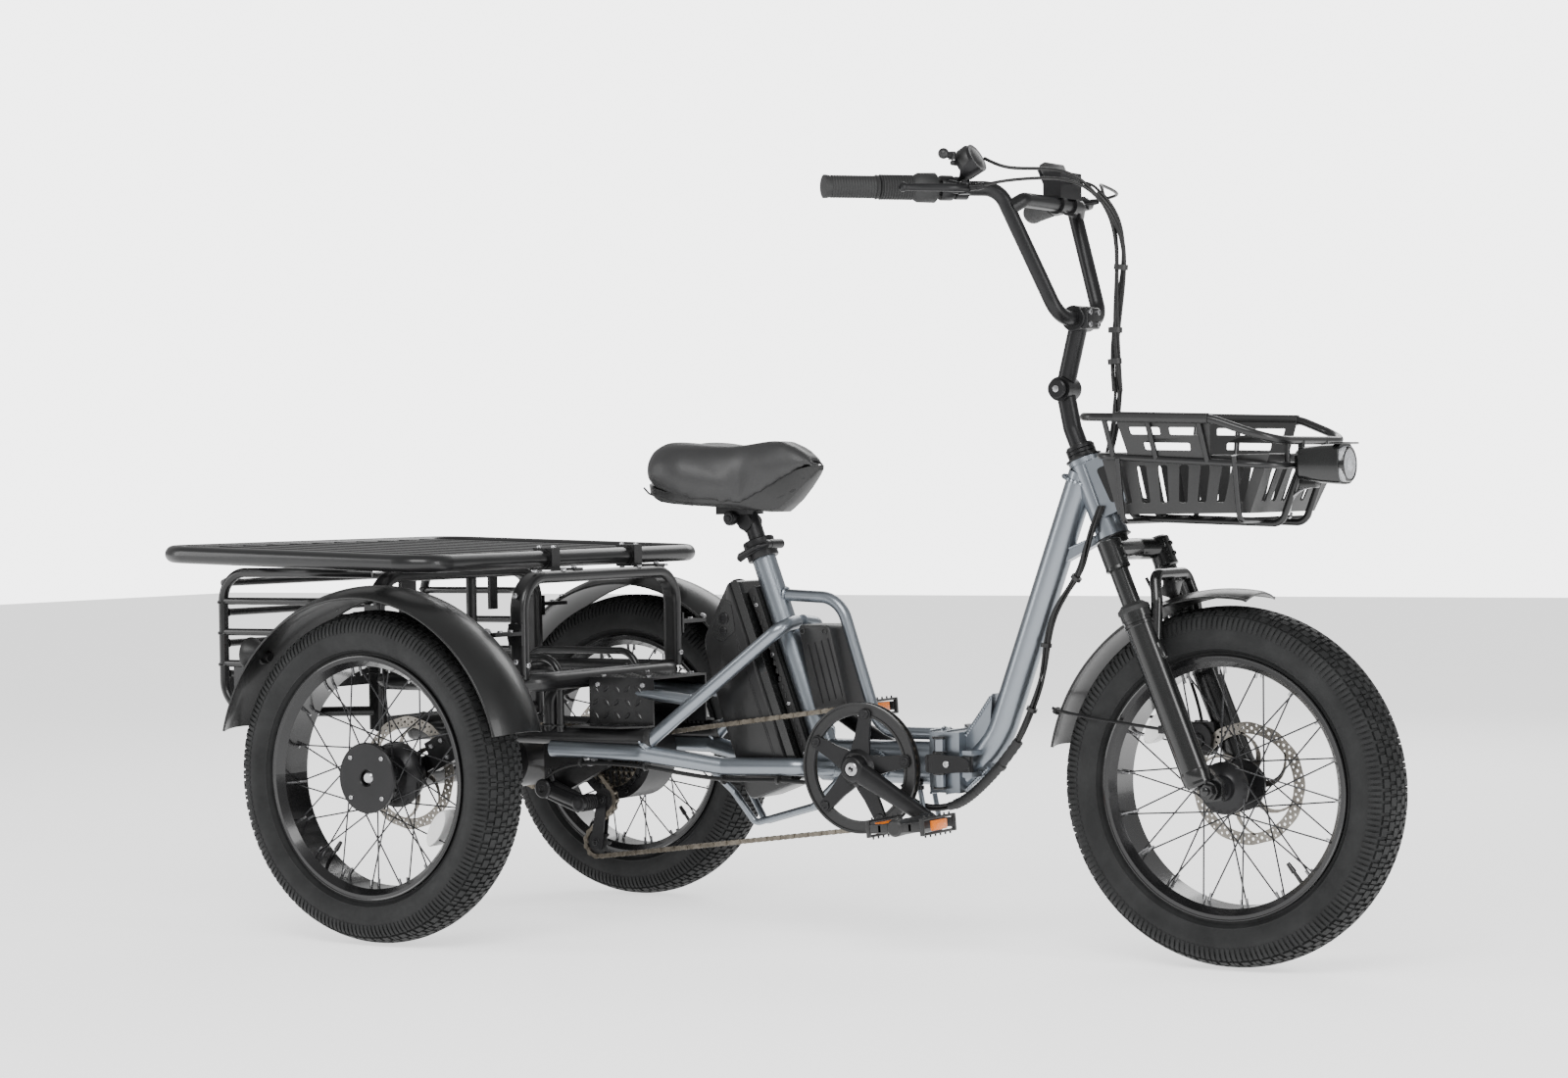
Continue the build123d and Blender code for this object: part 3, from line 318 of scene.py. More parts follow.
def make_studio():
    world = bpy.data.worlds.new("studio")
    bpy.context.scene.world = world
    world.use_nodes = True
    tree = world.node_tree
    tree.nodes["Background"].inputs["Color"].default_value = (1.0, 1.0, 1.0, 1)
    # the backdrop is bright to look at and gentle as a light
    path = tree.nodes.new("ShaderNodeLightPath")
    level = tree.nodes.new("ShaderNodeMapRange")
    level.inputs["To Min"].default_value = 0.55
    level.inputs["To Max"].default_value = 4.6
    tree.links.new(path.outputs["Is Camera Ray"], level.inputs["Value"])
    tree.links.new(level.outputs["Result"], tree.nodes["Background"].inputs["Strength"])
    area_light("key", (1.6, -3.2, 3.4), (0, 0, 0.4), (3.0, 2.0), 170)
    area_light("fill", (-3.6, -2.6, 1.6), (0, 0, 0.5), (1.2, 2.6), 60)
    area_light("front", (4.2, -0.6, 1.4), (0.4, 0, 0.5), (1.0, 2.6), 70)
    area_light("back", (-1.0, 3.6, 2.6), (0, 0, 0.5), (3.0, 1.6), 60)
    bm = bmesh.new()
    bmesh.ops.create_grid(bm, x_segments=2, y_segments=2, size=14.0)
    mesh = bpy.data.meshes.new("floor")
    bm.to_mesh(mesh)
    floor = bpy.data.objects.new("floor", mesh)
    bpy.context.scene.collection.objects.link(floor)
    floor.location.z = -0.0015
    pale = finish_material("floor_pale", (0.90, 0.90, 0.90), (0.92, 0.92, 0.92), 0.8,
                           colour_scale=0.6, bump=0.0, specular=0.2)
    shader = pale.node_tree.nodes["Principled BSDF"]
    shader.inputs["Emission Color"].default_value = (1.0, 1.0, 1.0, 1)
    shader.inputs["Emission Strength"].default_value = 1.15
    mesh.materials.append(pale)


# ---------------------------------------------------------------- mesh helpers
def turns(count):
    return [2 * pi * i / count for i in range(count)]


def squircle(a, power):
    # cosine and sine pulled out towards the corners of a square
    return (math.copysign(abs(cos(a)) ** power, cos(a)),
            math.copysign(abs(sin(a)) ** power, sin(a)))


class Shape:
    """Collects simple solids, in millimetres, into one mesh."""

    def __init__(self):
        self.bm = bmesh.new()

    def grid(self, rings, closed_loop=False):
        # rings of points, joined ring to ring; the ends are capped unless they join up
        rows = [[self.bm.verts.new(p) for p in ring] for ring in rings]
        for a, b in zip(rows, rows[1:] + (rows[:1] if closed_loop else [])):
            for i in range(len(a)):
                j = (i + 1) % len(a)
                self.bm.faces.new((a[i], a[j], b[j], b[i]))
        if not closed_loop:
            self.bm.faces.new(rows[0][::-1])
            self.bm.faces.new(rows[-1])

    def rod(self, p, q, r, r2=None, seg=16):
        p, q = Vector(p), Vector(q)
        d = (q - p).normalized()
        u = d.orthogonal().normalized()
        w = d.cross(u)
        r2 = r if r2 is None else r2
        rings = []
        for base, radius in ((p, r), (q, r2)):
            rings.append([base + (u * cos(a) + w * sin(a)) * radius
                          for a in turns(seg)])
        self.grid(rings)

    def disc(self, centre, axis, profile, seg=32):
        # profile of (along axis, radius) turned round the axis
        c, d = Vector(centre), Vector(axis).normalized()
        u = d.orthogonal().normalized()
        w = d.cross(u)
        rings = [[c + d * h + (u * cos(a) + w * sin(a)) * max(r, 0.05)
                  for a in turns(seg)] for h, r in profile]
        self.grid(rings)

    def bolt(self, centre, axis, r=4.0, h=4.0):
        self.disc(centre, axis, [(-1, r), (h * 0.7, r), (h, r * 0.82), (h, r * 0.45),
                                 (h * 0.35, r * 0.42)], 20)

    def hexagon(self, centre, axis, r=6.0, h=5.0):
        self.disc(centre, axis, [(-1, r), (h * 0.85, r), (h, r * 0.88)], 6)

    def block(self, low, high, turn=None, bevel=0.0):
        bm = bmesh.new()
        bmesh.ops.create_cube(bm, size=1.0)
        size = Vector(high) - Vector(low)
        mid = (Vector(high) + Vector(low)) / 2
        for v in bm.verts:
            v.co = Vector((v.co.x * size.x, v.co.y * size.y, v.co.z * size.z))
        if bevel:
            bmesh.ops.bevel(bm, geom=bm.edges[:], offset=bevel, segments=2, affect="EDGES",
                            profile=0.6)
        move = Matrix.Translation(mid) @ (turn.to_4x4() if turn else Matrix.Identity(4))
        bm.transform(move)
        self.join(bm)

    def join(self, bm):
        mesh = bpy.data.meshes.new("part")
        bm.to_mesh(mesh)
        bm.free()
        self.bm.from_mesh(mesh)
        bpy.data.meshes.remove(mesh)

    def sweep(self, points, r, seg=10, closed=False):
        pts = [Vector(p) for p in points]
        rings = []
        normal = (pts[1] - pts[0]).orthogonal().normalized()
        for i, p in enumerate(pts):
            a = pts[i - 1] if i or closed else p
            b = pts[(i + 1) % len(pts)] if i < len(pts) - 1 or closed else p
            d = (b - a).normalized()
            normal = (normal - d * normal.dot(d)).normalized()
            w = d.cross(normal)
            radius = r(i / (len(pts) - 1)) if callable(r) else r
            rings.append([p + (normal * cos(t) + w * sin(t)) * radius
                          for t in turns(seg)])
        self.grid(rings, closed_loop=closed)

    def plate(self, outline, holes, y0, y1):
        # flat plate in XZ with holes, between two Y values
        curve = bpy.data.curves.new("plate", "CURVE")
        curve.dimensions = "2D"
        curve.fill_mode = "BOTH"
        curve.extrude = abs(y1 - y0) / 2
        for loop in [outline] + holes:
            spline = curve.splines.new("POLY")
            spline.points.add(len(loop) - 1)
            for point, (x, z) in zip(spline.points, loop):
                point.co = (x, z, 0, 1)
            spline.use_cyclic_u = True
        holder = bpy.data.objects.new("plate", curve)
        mesh = bpy.data.meshes.new_from_object(holder)
        bm = bmesh.new()
        bm.from_mesh(mesh)
        bmesh.ops.remove_doubles(bm, verts=bm.verts, dist=0.001)
        for v in bm.verts:
            v.co = Vector((v.co.x, (y0 + y1) / 2 - v.co.z, v.co.y))
        self.join(bm)
        bpy.data.objects.remove(holder)
        bpy.data.curves.remove(curve)
        bpy.data.meshes.remove(mesh)

    def mirror(self):
        copy = self.bm.copy()
        bmesh.ops.reverse_faces(copy, faces=copy.faces[:])
        for v in copy.verts:
            v.co.y = -v.co.y
        self.join(copy)

    def make(self, name, material, body, bevel=0.0, replaces=(), angle=35.0, slot=None):
        finish_piece(name, raw_mesh(self, name), material, body, bevel, replaces, angle, slot=slot)


def raw_mesh(shape, name):
    bmesh.ops.recalc_face_normals(shape.bm, faces=shape.bm.faces[:])
    mesh = bpy.data.meshes.new(name)
    shape.bm.to_mesh(mesh)
    shape.bm.free()
    return mesh


def finish_piece(name, mesh, material, body, bevel=0.0, replaces=(), angle=35.0, place=None,
                 slot=None):
    # body is one body's name, or four values naming a joint's two bodies and two points; with the
    # four values the piece is only baked in place and the values are not used
    if not mesh.get("scaled"):
        mesh.transform(Matrix.Scale(MM, 4))
        mesh["scaled"] = 1
        mesh.polygons.foreach_set("use_smooth", [True] * len(mesh.polygons))
        mesh.set_sharp_from_angle(angle=radians(angle))
        mesh.materials.append(material)
    piece = bpy.data.objects.new(name, mesh)
    bpy.context.scene.collection.objects.link(piece)
    piece.matrix_world = Matrix.Translation(at(0, 0, 0)) if place is None else place
    if bevel:
        mod = piece.modifiers.new("edges", "BEVEL")
        mod.width = bevel * MM
        mod.segments = 2
        mod.limit_method = "ANGLE"
        mod.angle_limit = radians(40)
    if isinstance(body, str):
        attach(piece, body)
    else:
        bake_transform(piece)
    slot = slot or SLOT_OF.get(material)
    if replaces:
        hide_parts(*replaces)
    return piece


def circle(cx, cz, r, seg=24):
    return [(cx + r * cos(a), cz + r * sin(a)) for a in turns(seg)]


def spline_points(points, count):
    # points along a smooth curve held by the given ones
    curve = bpy.data.curves.new("path", "CURVE")
    curve.dimensions = "3D"
    spline = curve.splines.new("NURBS")
    spline.points.add(len(points) - 1)
    for p, co in zip(spline.points, points):
        p.co = (*co, 1)
    spline.use_endpoint_u = True
    spline.order_u = 4
    spline.resolution_u = max(2, count // len(points))
    holder = bpy.data.objects.new("path", curve)
    mesh = bpy.data.meshes.new_from_object(holder)
    out = [v.co.copy() for v in mesh.vertices]
    bpy.data.objects.remove(holder)
    bpy.data.curves.remove(curve)
    bpy.data.meshes.remove(mesh)
    return out


# ---------------------------------------------------------------- wheels
TREAD_ROWS = 92
TREAD_H = 3.0
CROWN_C = 181.5
CROWN_R = 79.5
WHEEL_SEG = 184


def crown_point(angle, drop):
    return ((CROWN_R - drop) * sin(angle), CROWN_C + (CROWN_R - drop) * cos(angle))


def on_wheel(y, r, a):
    return (r * cos(a), y, r * sin(a))


def tyre_mesh():
    shape = Shape()
    side = [(33.4, 191.5), (33.6, 195), (40.2, 199.5), (42.6, 200.4), (42.4, 202), (46.4, 209),
            (48.9, 218), (49.2, 225), (48.4, 231), (48.6, 232.4), (46.6, 236.5), (43.0, 243.5)]
    crown = [crown_point(radians(a), TREAD_H) for a in range(30, -31, -5)]
    inner = [(-28, 190), (-38, 208), (-41, 222), (-36, 240), (0, 250), (36, 240), (41, 222),
             (38, 208), (28, 190)]
    profile = side + crown + [(-y, r) for y, r in reversed(side)] + inner
    rings = [[on_wheel(y, r, 2 * pi * i / WHEEL_SEG) for y, r in profile]
             for i in range(WHEEL_SEG)]
    shape.grid(rings, closed_loop=True)
    pitch = 2 * pi / TREAD_ROWS
    columns = range(-3, 4)
    for row in range(TREAD_ROWS):
        for col in columns:
            mid = radians(8.9 * col)
            shift = 0.5 * pitch * (col % 2)
            parts = 1 if (row + col) % 2 else 2
            for k in range(parts):
                span = pitch * 0.80
                a0 = row * pitch + shift + k * span / parts
                a1 = a0 + span / parts - (0.06 * pitch if parts == 2 else 0.0)
                tread_block(shape, mid - radians(3.95), mid + radians(3.95), a0, a1)
        for half in range(2):
            a0 = (row + 0.5 * half) * pitch
            for side_of in (-1, 1):
                shoulder_lug(shape, a0, a0 + pitch * 0.30, side_of)
    bmesh.ops.recalc_face_normals(shape.bm, faces=shape.bm.faces[:])
    mesh = bpy.data.meshes.new("tyre")
    shape.bm.to_mesh(mesh)
    shape.bm.free()
    return mesh


def tread_block(shape, f0, f1, a0, a1):
    lean = (a1 - a0) * 0.07
    tilt = (f1 - f0) * 0.05
    low = [(f0, a0), (f1, a0), (f1, a1), (f0, a1)]
    high = [(f0 + tilt, a0 + lean), (f1 - tilt, a0 + lean), (f1 - tilt, a1 - lean),
            (f0 + tilt, a1 - lean)]
    rings = [[on_wheel(*crown_point(f, TREAD_H + 0.6), a) for f, a in low],
             [on_wheel(*crown_point(f, 0.0), a) for f, a in high]]
    shape.grid(rings)


def shoulder_lug(shape, a0, a1, side):
    track = [(42.6, 247.2, 40.0, 243.0), (47.2, 241.5, 44.6, 239.5), (49.8, 234.0, 47.6, 233.0),
             (49.6, 228.5, 48.2, 228.5)]
    rings = []
    for y, r, yb, rb in track:
        rings.append([on_wheel(side * y, r, a0), on_wheel(side * y, r, a1),
                      on_wheel(side * yb, rb, a1), on_wheel(side * yb, rb, a0)])
    shape.grid(rings)


def rotor(shape, y0, y1):
    outline = []
    for i in range(144):
        a = 2 * pi * i / 144
        outline.append((cos(a) * (89.2 + 0.8 * cos(12 * a)), sin(a) * (89.2 + 0.8 * cos(12 * a))))
    holes = [circle(0, 0, 72.5, 96)]
    for i in range(36):
        a = 2 * pi * i / 36
        for r, shift, size in ((85.5, 0.0, 1.8), (81.0, 0.5, 2.4), (76.5, 0.0, 1.8)):
            b = a + shift * 2 * pi / 36
            holes.append(circle(r * cos(b), r * sin(b), size, 8))
    shape.plate(outline, holes, y0, y1)
    for i in range(6):
        base = 2 * pi * i / 6
        left, right = [], []
        for k in range(9):
            t = k / 8
            r = 22 + 53 * t
            a = base + radians(38) * t * t
            w = 5.0 - 2.2 * t
            left.append((r * cos(a) - w * sin(a), r * sin(a) + w * cos(a)))
            right.append((r * cos(a) + w * sin(a), r * sin(a) - w * cos(a)))
        shape.plate(left + right[::-1], [], y0, y1)
    shape.plate(circle(0, 0, 27, 48), [circle(0, 0, 18, 32)], y0, y1)


def flange_holes(shape, y, r, count, axis):
    for i in range(count):
        a = 2 * pi * i / count
        shape.disc((r * cos(a), y, r * sin(a)), axis, [(-0.6, 2.6), (0.5, 2.6), (0.5, 1.2)], 10)


def front_hub_shape():
    shape = Shape()
    profile = [(-55, 7), (-55, 12), (-47, 13), (-46, 18), (-36, 19), (-33, 24), (-32.5, 38),
               (-27, 38), (-25, 25), (-14, 20), (14, 20), (24, 25), (25, 38), (30, 38),
               (31, 26), (44, 24), (48.9, 24), (49, 14), (55, 13), (55, 7)]
    shape.disc((0, 0, 0), (0, 1, 0), profile, 64)
    flange_holes(shape, -32.5, 34.5, 18, (0, -1, 0))
    flange_holes(shape, 30, 34.5, 18, (0, 1, 0))
    return shape


def rear_hub_shape():
    shape = Shape()
    profile = [(-139.9, 11.9), (-76, 11.9), (-75.5, 26), (-69, 29), (-66, 36), (-58, 44),
               (-46, 48), (-42, 52), (-37, 52), (-34, 42), (-24, 34), (6, 33), (14, 38),
               (18, 51), (23, 51), (26, 50), (28, 55), (33, 55.5), (34.5, 53.5), (34.7, 14),
               (33, 12.5), (27, 12), (27, 5)]
    shape.disc((0, 0, 0), (0, 1, 0), profile, 72)
    flange_holes(shape, 23.4, 53.3, 18, (0, 1, 0))
    return shape


def nipples():
    shape = Shape()
    for i in range(36):
        side = 1 if i % 2 == 0 else -1
        a = 2 * pi * (i - 0.5 * side) / 36
        shape.rod(on_wheel(9.0 * side, 175.5, a), on_wheel(9.6 * side, 163, a), 2.6, 1.9, 8)
    return shape


def rim_detail():
    # lip bead, valve and its cap
    shape = Shape()
    for side in SIDES:
        rings = []
        for i in range(120):
            a = 2 * pi * i / 120
            rings.append([on_wheel(side * (37.2 + 1.5 * cos(t)), 189.6 + 1.9 * sin(t), a)
                          for t in turns(8)])
        shape.grid(rings, closed_loop=True)
    shape.rod(on_wheel(0, 176, radians(-52)), on_wheel(0, 150, radians(-52)), 3.2, 2.6)
    shape.rod(on_wheel(0, 152, radians(-52)), on_wheel(0, 136, radians(-52)), 4.2, 3.2, 12)
    return shape


def wheel_reflector():
    # oval clip-on reflector between the spokes
    shape = Shape()
    centre = on_wheel(0, 143, 0)
    rings = []
    for y, grow in ((-15, 0.92), (-12, 1.0), (12, 1.0), (15, 0.92)):
        rings.append([(centre[0] + 13.0 * grow * cos(t), y, centre[2] + 33.0 * grow * sin(t))
                      for t in turns(28)])
    shape.grid(rings)
    return shape


def build_wheels():
    tyre = tyre_mesh()
    shared = {}
    reflector_angle = {"front": radians(143), "rear_right": radians(212), "rear_left": radians(30)}
    for key, y, turn in (("front", 0.0, 0.0), ("rear_right", -TRACK_HALF, pi),
                         ("rear_left", TRACK_HALF, 0.0)):
        x = WHEELBASE if key == "front" else 0.0
        place = Matrix.Translation(at(x, y, WHEEL_R)) @ Matrix.Rotation(turn, 4, "Z")
        body = key + "_wheel"
        finish_piece(key + "_tyre_treaded", tyre, RUBBER, body, 0.0,
                     (key + "_tyre",), 28.0, place)
        kind = "front" if key == "front" else "rear"
        if kind not in shared:
            hub = front_hub_shape() if kind == "front" else rear_hub_shape()
            disc = Shape()
            rotor(disc, *((49, 51) if kind == "front" else (-72, -70)))
            shared[kind] = (raw_mesh(hub, "hub"), raw_mesh(disc, "rotor"))
        hub, disc = shared[kind]
        finish_piece(key + "_hub_shell", hub, ANODISED, body, 0.0,
                     (key + "_hub",), 35.0, place)
        finish_piece(key + "_rotor", disc, ROTOR, body, 0.0, (), 35.0, place)
        if "nipples" not in shared:
            shared["nipples"] = raw_mesh(nipples(), "nipples")
            shared["lip"] = raw_mesh(rim_detail(), "lip")
            shared["reflector"] = raw_mesh(wheel_reflector(), "reflector")
        finish_piece(key + "_nipples", shared["nipples"], STEEL, body, place=place)
        finish_piece(key + "_rim_lip", shared["lip"], RIM_MAT, body, place=place)
        spin = Matrix.Rotation(-reflector_angle[key], 4, "Y")
        finish_piece(key + "_reflector", shared["reflector"], WHITE_TRIM, body, place=place @ spin)
    bolts = Shape()
    for side in SIDES:
        for i in range(4):
            a = radians(45 + 90 * i)
            bolts.bolt((44 * cos(a), side * (TRACK_HALF + 34), WHEEL_R + 44 * sin(a)),
                       (0, side, 0), 3.6, 2.4)
    split_sides(bolts, "hub_cap_screws", STEEL, "rear_right_wheel", "rear_left_wheel")
    for side, body in ((-1, "rear_right_wheel"), (1, "rear_left_wheel")):
        nut = Shape()
        nut.disc((0, side * (TRACK_HALF + 27), WHEEL_R), (0, side, 0),
                 [(-6, 9.5), (3, 9.5), (5, 7.0), (5, 0.1)], 24)
        nut.make(body + "_axle_end", STEEL, body)


def split_sides(shape, name, material, right_body, left_body):
    # one shape of right and left bolts, made into a piece for each side's body
    for side, body, tag in ((-1, right_body, "right"), (1, left_body, "left")):
        part = Shape()
        part.bm = shape.bm.copy()
        away = [v for v in part.bm.verts if v.co.y * side < 0]
        bmesh.ops.delete(part.bm, geom=away, context="VERTS")
        part.make(name + "_" + tag, material, body)
    shape.bm.free()


# ---------------------------------------------------------------- chain and gears
def pitch_r(teeth):
    return PITCH / (2 * sin(pi / teeth))


def belt(circles):
    # tangent path round (centre, radius, sense) circles, as a list of pieces
    pieces, ends = [], []
    for i, (c1, r1, s1) in enumerate(circles):
        c2, r2, s2 = circles[(i + 1) % len(circles)]
        dx, dz = c2[0] - c1[0], c2[1] - c1[1]
        a = math.atan2(dz, dx) - math.asin((s2 * r2 - s1 * r1) / math.hypot(dx, dz))
        n = (-sin(a), cos(a))
        ends.append(((c1[0] - s1 * r1 * n[0], c1[1] - s1 * r1 * n[1]),
                     (c2[0] - s2 * r2 * n[0], c2[1] - s2 * r2 * n[1])))
    for i, (c, r, s) in enumerate(circles):
        p, q = ends[i - 1][1], ends[i][0]
        a0 = math.atan2(p[1] - c[1], p[0] - c[0])
        a1 = math.atan2(q[1] - c[1], q[0] - c[0])
        turn = (a1 - a0) % (2 * pi) if s > 0 else -((a0 - a1) % (2 * pi))
        pieces.append(("arc", abs(turn) * r, c, r, a0, turn))
        pieces.append(("line", math.dist(q, ends[i][1]), q, ends[i][1]))
    return pieces


def belt_point(pieces, s):
    for piece in pieces:
        if s <= piece[1]:
            if piece[0] == "arc":
                a = piece[4] + piece[5] * s / piece[1]
                return (piece[2][0] + piece[3] * cos(a), piece[2][1] + piece[3] * sin(a))
            f = s / piece[1]
            return (piece[2][0] + f * (piece[3][0] - piece[2][0]),
                    piece[2][1] + f * (piece[3][1] - piece[2][1]))
        s -= piece[1]
    return belt_point(pieces, s)


def link_plate(p, q, waist, end):
    # figure-of-eight outline from pin p to pin q
    a = math.atan2(q[1] - p[1], q[0] - p[0])
    pts = []
    for c, base in ((q, a - pi * 0.62), (p, a + pi * 0.38)):
        for k in range(7):
            t = base + pi * 1.24 * k / 6
            pts.append((c[0] + end * cos(t), c[1] + end * sin(t)))
        mid = ((p[0] + q[0]) / 2, (p[1] + q[1]) / 2)
        side = 1 if c is q else -1
        pts.append((mid[0] - side * waist * sin(a), mid[1] + side * waist * cos(a)))
    return pts


def slab(shape, outline, y0, y1):
    shape.grid([[(x, y0, z) for x, z in outline], [(x, y1, z) for x, z in outline]])


def chain_links(name, circles, y, node):
    pieces = belt(circles)
    total = sum(p[1] for p in pieces)
    count = 2 * round(total / PITCH / 2)
    pins = [belt_point(pieces, total * i / count) for i in range(count)]
    shape = Shape()
    for i, p in enumerate(pins):
        q = pins[(i + 1) % count]
        gap = 2.6 if i % 2 else 3.7
        outline = link_plate(p, q, 2.7, 4.1)
        for side in SIDES:
            slab(shape, outline, y + side * gap, y + side * (gap + 1.0))
        shape.rod((p[0], y - 2.6, p[1]), (p[0], y + 2.6, p[1]), 3.6, seg=10)
        shape.rod((p[0], y - 5.1, p[1]), (p[0], y + 5.1, p[1]), 1.7, seg=8)
    shape.make(name, CHAIN_METAL, "rear_frame", 0.0, (node,))


def tooth_outline(teeth, centre):
    r = pitch_r(teeth)
    w = 2 * pi / teeth
    out = []
    for i in range(teeth):
        a = i * w
        for f, d in ((-0.34, -3.9), (-0.20, -1.2), (-0.08, 3.2), (0.08, 3.2), (0.20, -1.2),
                     (0.34, -3.9)):
            out.append((centre[0] + (r + d) * cos(a + f * w),
                        centre[1] + (r + d) * sin(a + f * w)))
    return out


def build_chains():
    main = [(BB, pitch_r(46), 1), (HUB, pitch_r(11), 1), ((222.0, 207.0), pitch_r(11), -1),
            ((208.0, 138.0), pitch_r(11), 1)]
    chain_links("chain_links", main, CHAIN_Y, "chain")
    last = [(HUB, pitch_r(16), 1), ((0.0, WHEEL_R), pitch_r(26), 1)]
    chain_links("final_chain_links", last, 61.0, "final_chain")


def build_crank():
    ring = Shape()
    ring.plate(tooth_outline(46, BB), [circle(*BB, 82, 72)], CHAIN_Y - 0.9, CHAIN_Y + 0.9)
    ring.make("chainring_teeth", CHAIN_METAL, "crank")
    guard = Shape()
    outer = circle(*BB, 100, 120)
    hole = circle(*BB, 80.5, 96)
    guard.plate(outer, [hole], CHAIN_Y - 8.4, CHAIN_Y - 4.6)
    guard.plate(circle(*BB, 99.9, 120), [circle(*BB, 96.5, 120)], CHAIN_Y - 10.6, CHAIN_Y - 8.3)
    guard.plate(circle(*BB, 84, 120), [circle(*BB, 80.5, 120)], CHAIN_Y - 10.2, CHAIN_Y - 8.3)
    guard.plate(outer, [circle(*BB, 85, 96)], CHAIN_Y + 4.6, CHAIN_Y + 6.4)
    guard.make("chain_guards", PLASTIC, "crank", 0.8)
    spider = Shape()
    for i in range(5):
        t = CRANK_ANGLE + radians(36 + 72 * i)
        d, n = (cos(t), sin(t)), (-sin(t), cos(t))
        half = ((6, 17), (30, 16), (48, 12.5), (72, 11), (88, 9.5), (92, 5))
        outline = [(BB[0] + r * d[0] + w * n[0], BB[1] + r * d[1] + w * n[1])
                   for r, w in half + tuple((r, -w) for r, w in half[::-1])]
        slab(spider, outline, CHAIN_Y - 12.6, CHAIN_Y - 6.5)
        spider.disc((BB[0] + 84 * d[0], CHAIN_Y - 12.6, BB[1] + 84 * d[1]), (0, -1, 0),
                    [(-1, 7.5), (1.6, 7.5), (2.4, 6.4), (2.4, 3.6), (1.2, 3.4)], 20)
    spider.disc((BB[0], CHAIN_Y - 6, BB[1]), (0, -1, 0),
                [(-8, 22), (6, 30), (10, 27), (14, 24)], 48)
    spider.make("chainring_spider", ANODISED, "crank", 0.8)
    arms = Shape()
    for side, way in ((-1, 1), (1, -1)):
        d = (way * cos(CRANK_ANGLE), way * sin(CRANK_ANGLE))
        n = (-d[1], d[0])
        rings = []
        for k in range(13):
            t = k / 12
            s = -16 + (CRANK_LEN + 14 + 16) * t
            w = 17.0 - 6.0 * min(1.0, max(0.0, t * 1.15))
            if k in (0, 12):
                w *= 0.55
            h = 10.5 - 3.0 * t
            y = side * (82 + 15 * max(0.0, t - 0.08))
            rings.append([(BB[0] + s * d[0] + c * w * n[0], y + e * h,
                           BB[1] + s * d[1] + c * w * n[1])
                          for c, e in (squircle(a, 0.6) for a in turns(16))])
        arms.grid(rings)
        end = (BB[0] + CRANK_LEN * d[0], side * 97, BB[1] + CRANK_LEN * d[1])
        arms.disc((BB[0], side * 84, BB[1]), (0, side, 0),
                  [(-10, 20), (6, 20), (9, 18.5), (10.5, 16), (10.5, 11.5), (8, 11)], 48)
        arms.rod((end[0], side * 92, end[2]), (end[0], side * 200, end[2]), 4.9, seg=20)
    arms.rod((BB[0], -84, BB[1]), (BB[0], 84, BB[1]), 11.9, seg=32)
    arms.make("crank_arms", ANODISED, "crank", 0.6, ("crankset",))
    caps = Shape()
    for side in SIDES:
        caps.disc((BB[0], side * 92, BB[1]), (0, side, 0),
                  [(-2, 10.8), (1.2, 10.8), (2.2, 9.4), (2.2, 4.6), (0.2, 4.4)], 32)
    caps.make("crank_bolts", STEEL, "crank")


def build_pedals():
    for side, way, body in ((-1, 1, "pedal_right"), (1, -1, "pedal_left")):
        cx = BB[0] + way * CRANK_LEN * cos(CRANK_ANGLE)
        cz = BB[1] + way * CRANK_LEN * sin(CRANK_ANGLE)
        cage = Shape()
        y0, y1 = sorted((side * 108, side * 204))
        turn = Matrix.Rotation(radians(-4), 4, "Y")
        for x in (-1, 1):
            for k in range(2):
                low = (x * 46 - 2, y0, (-13, 9)[k])
                high = (x * 46 + 2, y1, (-9, 13)[k])
                cage.block(low, high, bevel=1.0)
            for y in (y0 + 2, y1 - 2):
                cage.block((x * 46 - 3, y - 3, -13), (x * 46 + 3, y + 3, 13), bevel=1.0)
        for y in (y0, y1 - 6):
            cage.block((-44, y, -7), (44, y + 6, 7), bevel=2.0)
        for x in (-26, 26):
            cage.block((x - 3, y0, -6), (x + 3, y1, 6), bevel=1.0)
            for i in range(6):
                y = y0 + 12 + i * (y1 - y0 - 24) / 5
                for z, h in ((12.5, 1), (-12.5, -1)):
                    cage.rod((x * 1.72, y, z), (x * 1.72, y, z + 4 * h), 1.8, 1.3, 8)
        cage.bm.transform(Matrix.Translation((cx, 0, cz)) @ turn)
        cage.disc((cx, side * 106, cz), (0, side, 0),
                  [(0, 8), (2, 14), (12, 15), (30, 12), (70, 12), (90, 13), (98, 13), (101, 10),
                   (101, 2)], 32)
        cage.make(body + "_cage", PLASTIC, body, 0.5, (body,))
        lens = Shape()
        for x in (-1, 1):
            lens.block((x * 47.4 - 1.6, y0 + 26, -7.5), (x * 47.4 + 1.6, y1 - 26, 7.5), bevel=1.0)
        lens.bm.transform(Matrix.Translation((cx, 0, cz)) @ turn)
        lens.make(body + "_reflectors", ORANGE, body)


build_wheels()
build_chains()
build_crank()
build_pedals()

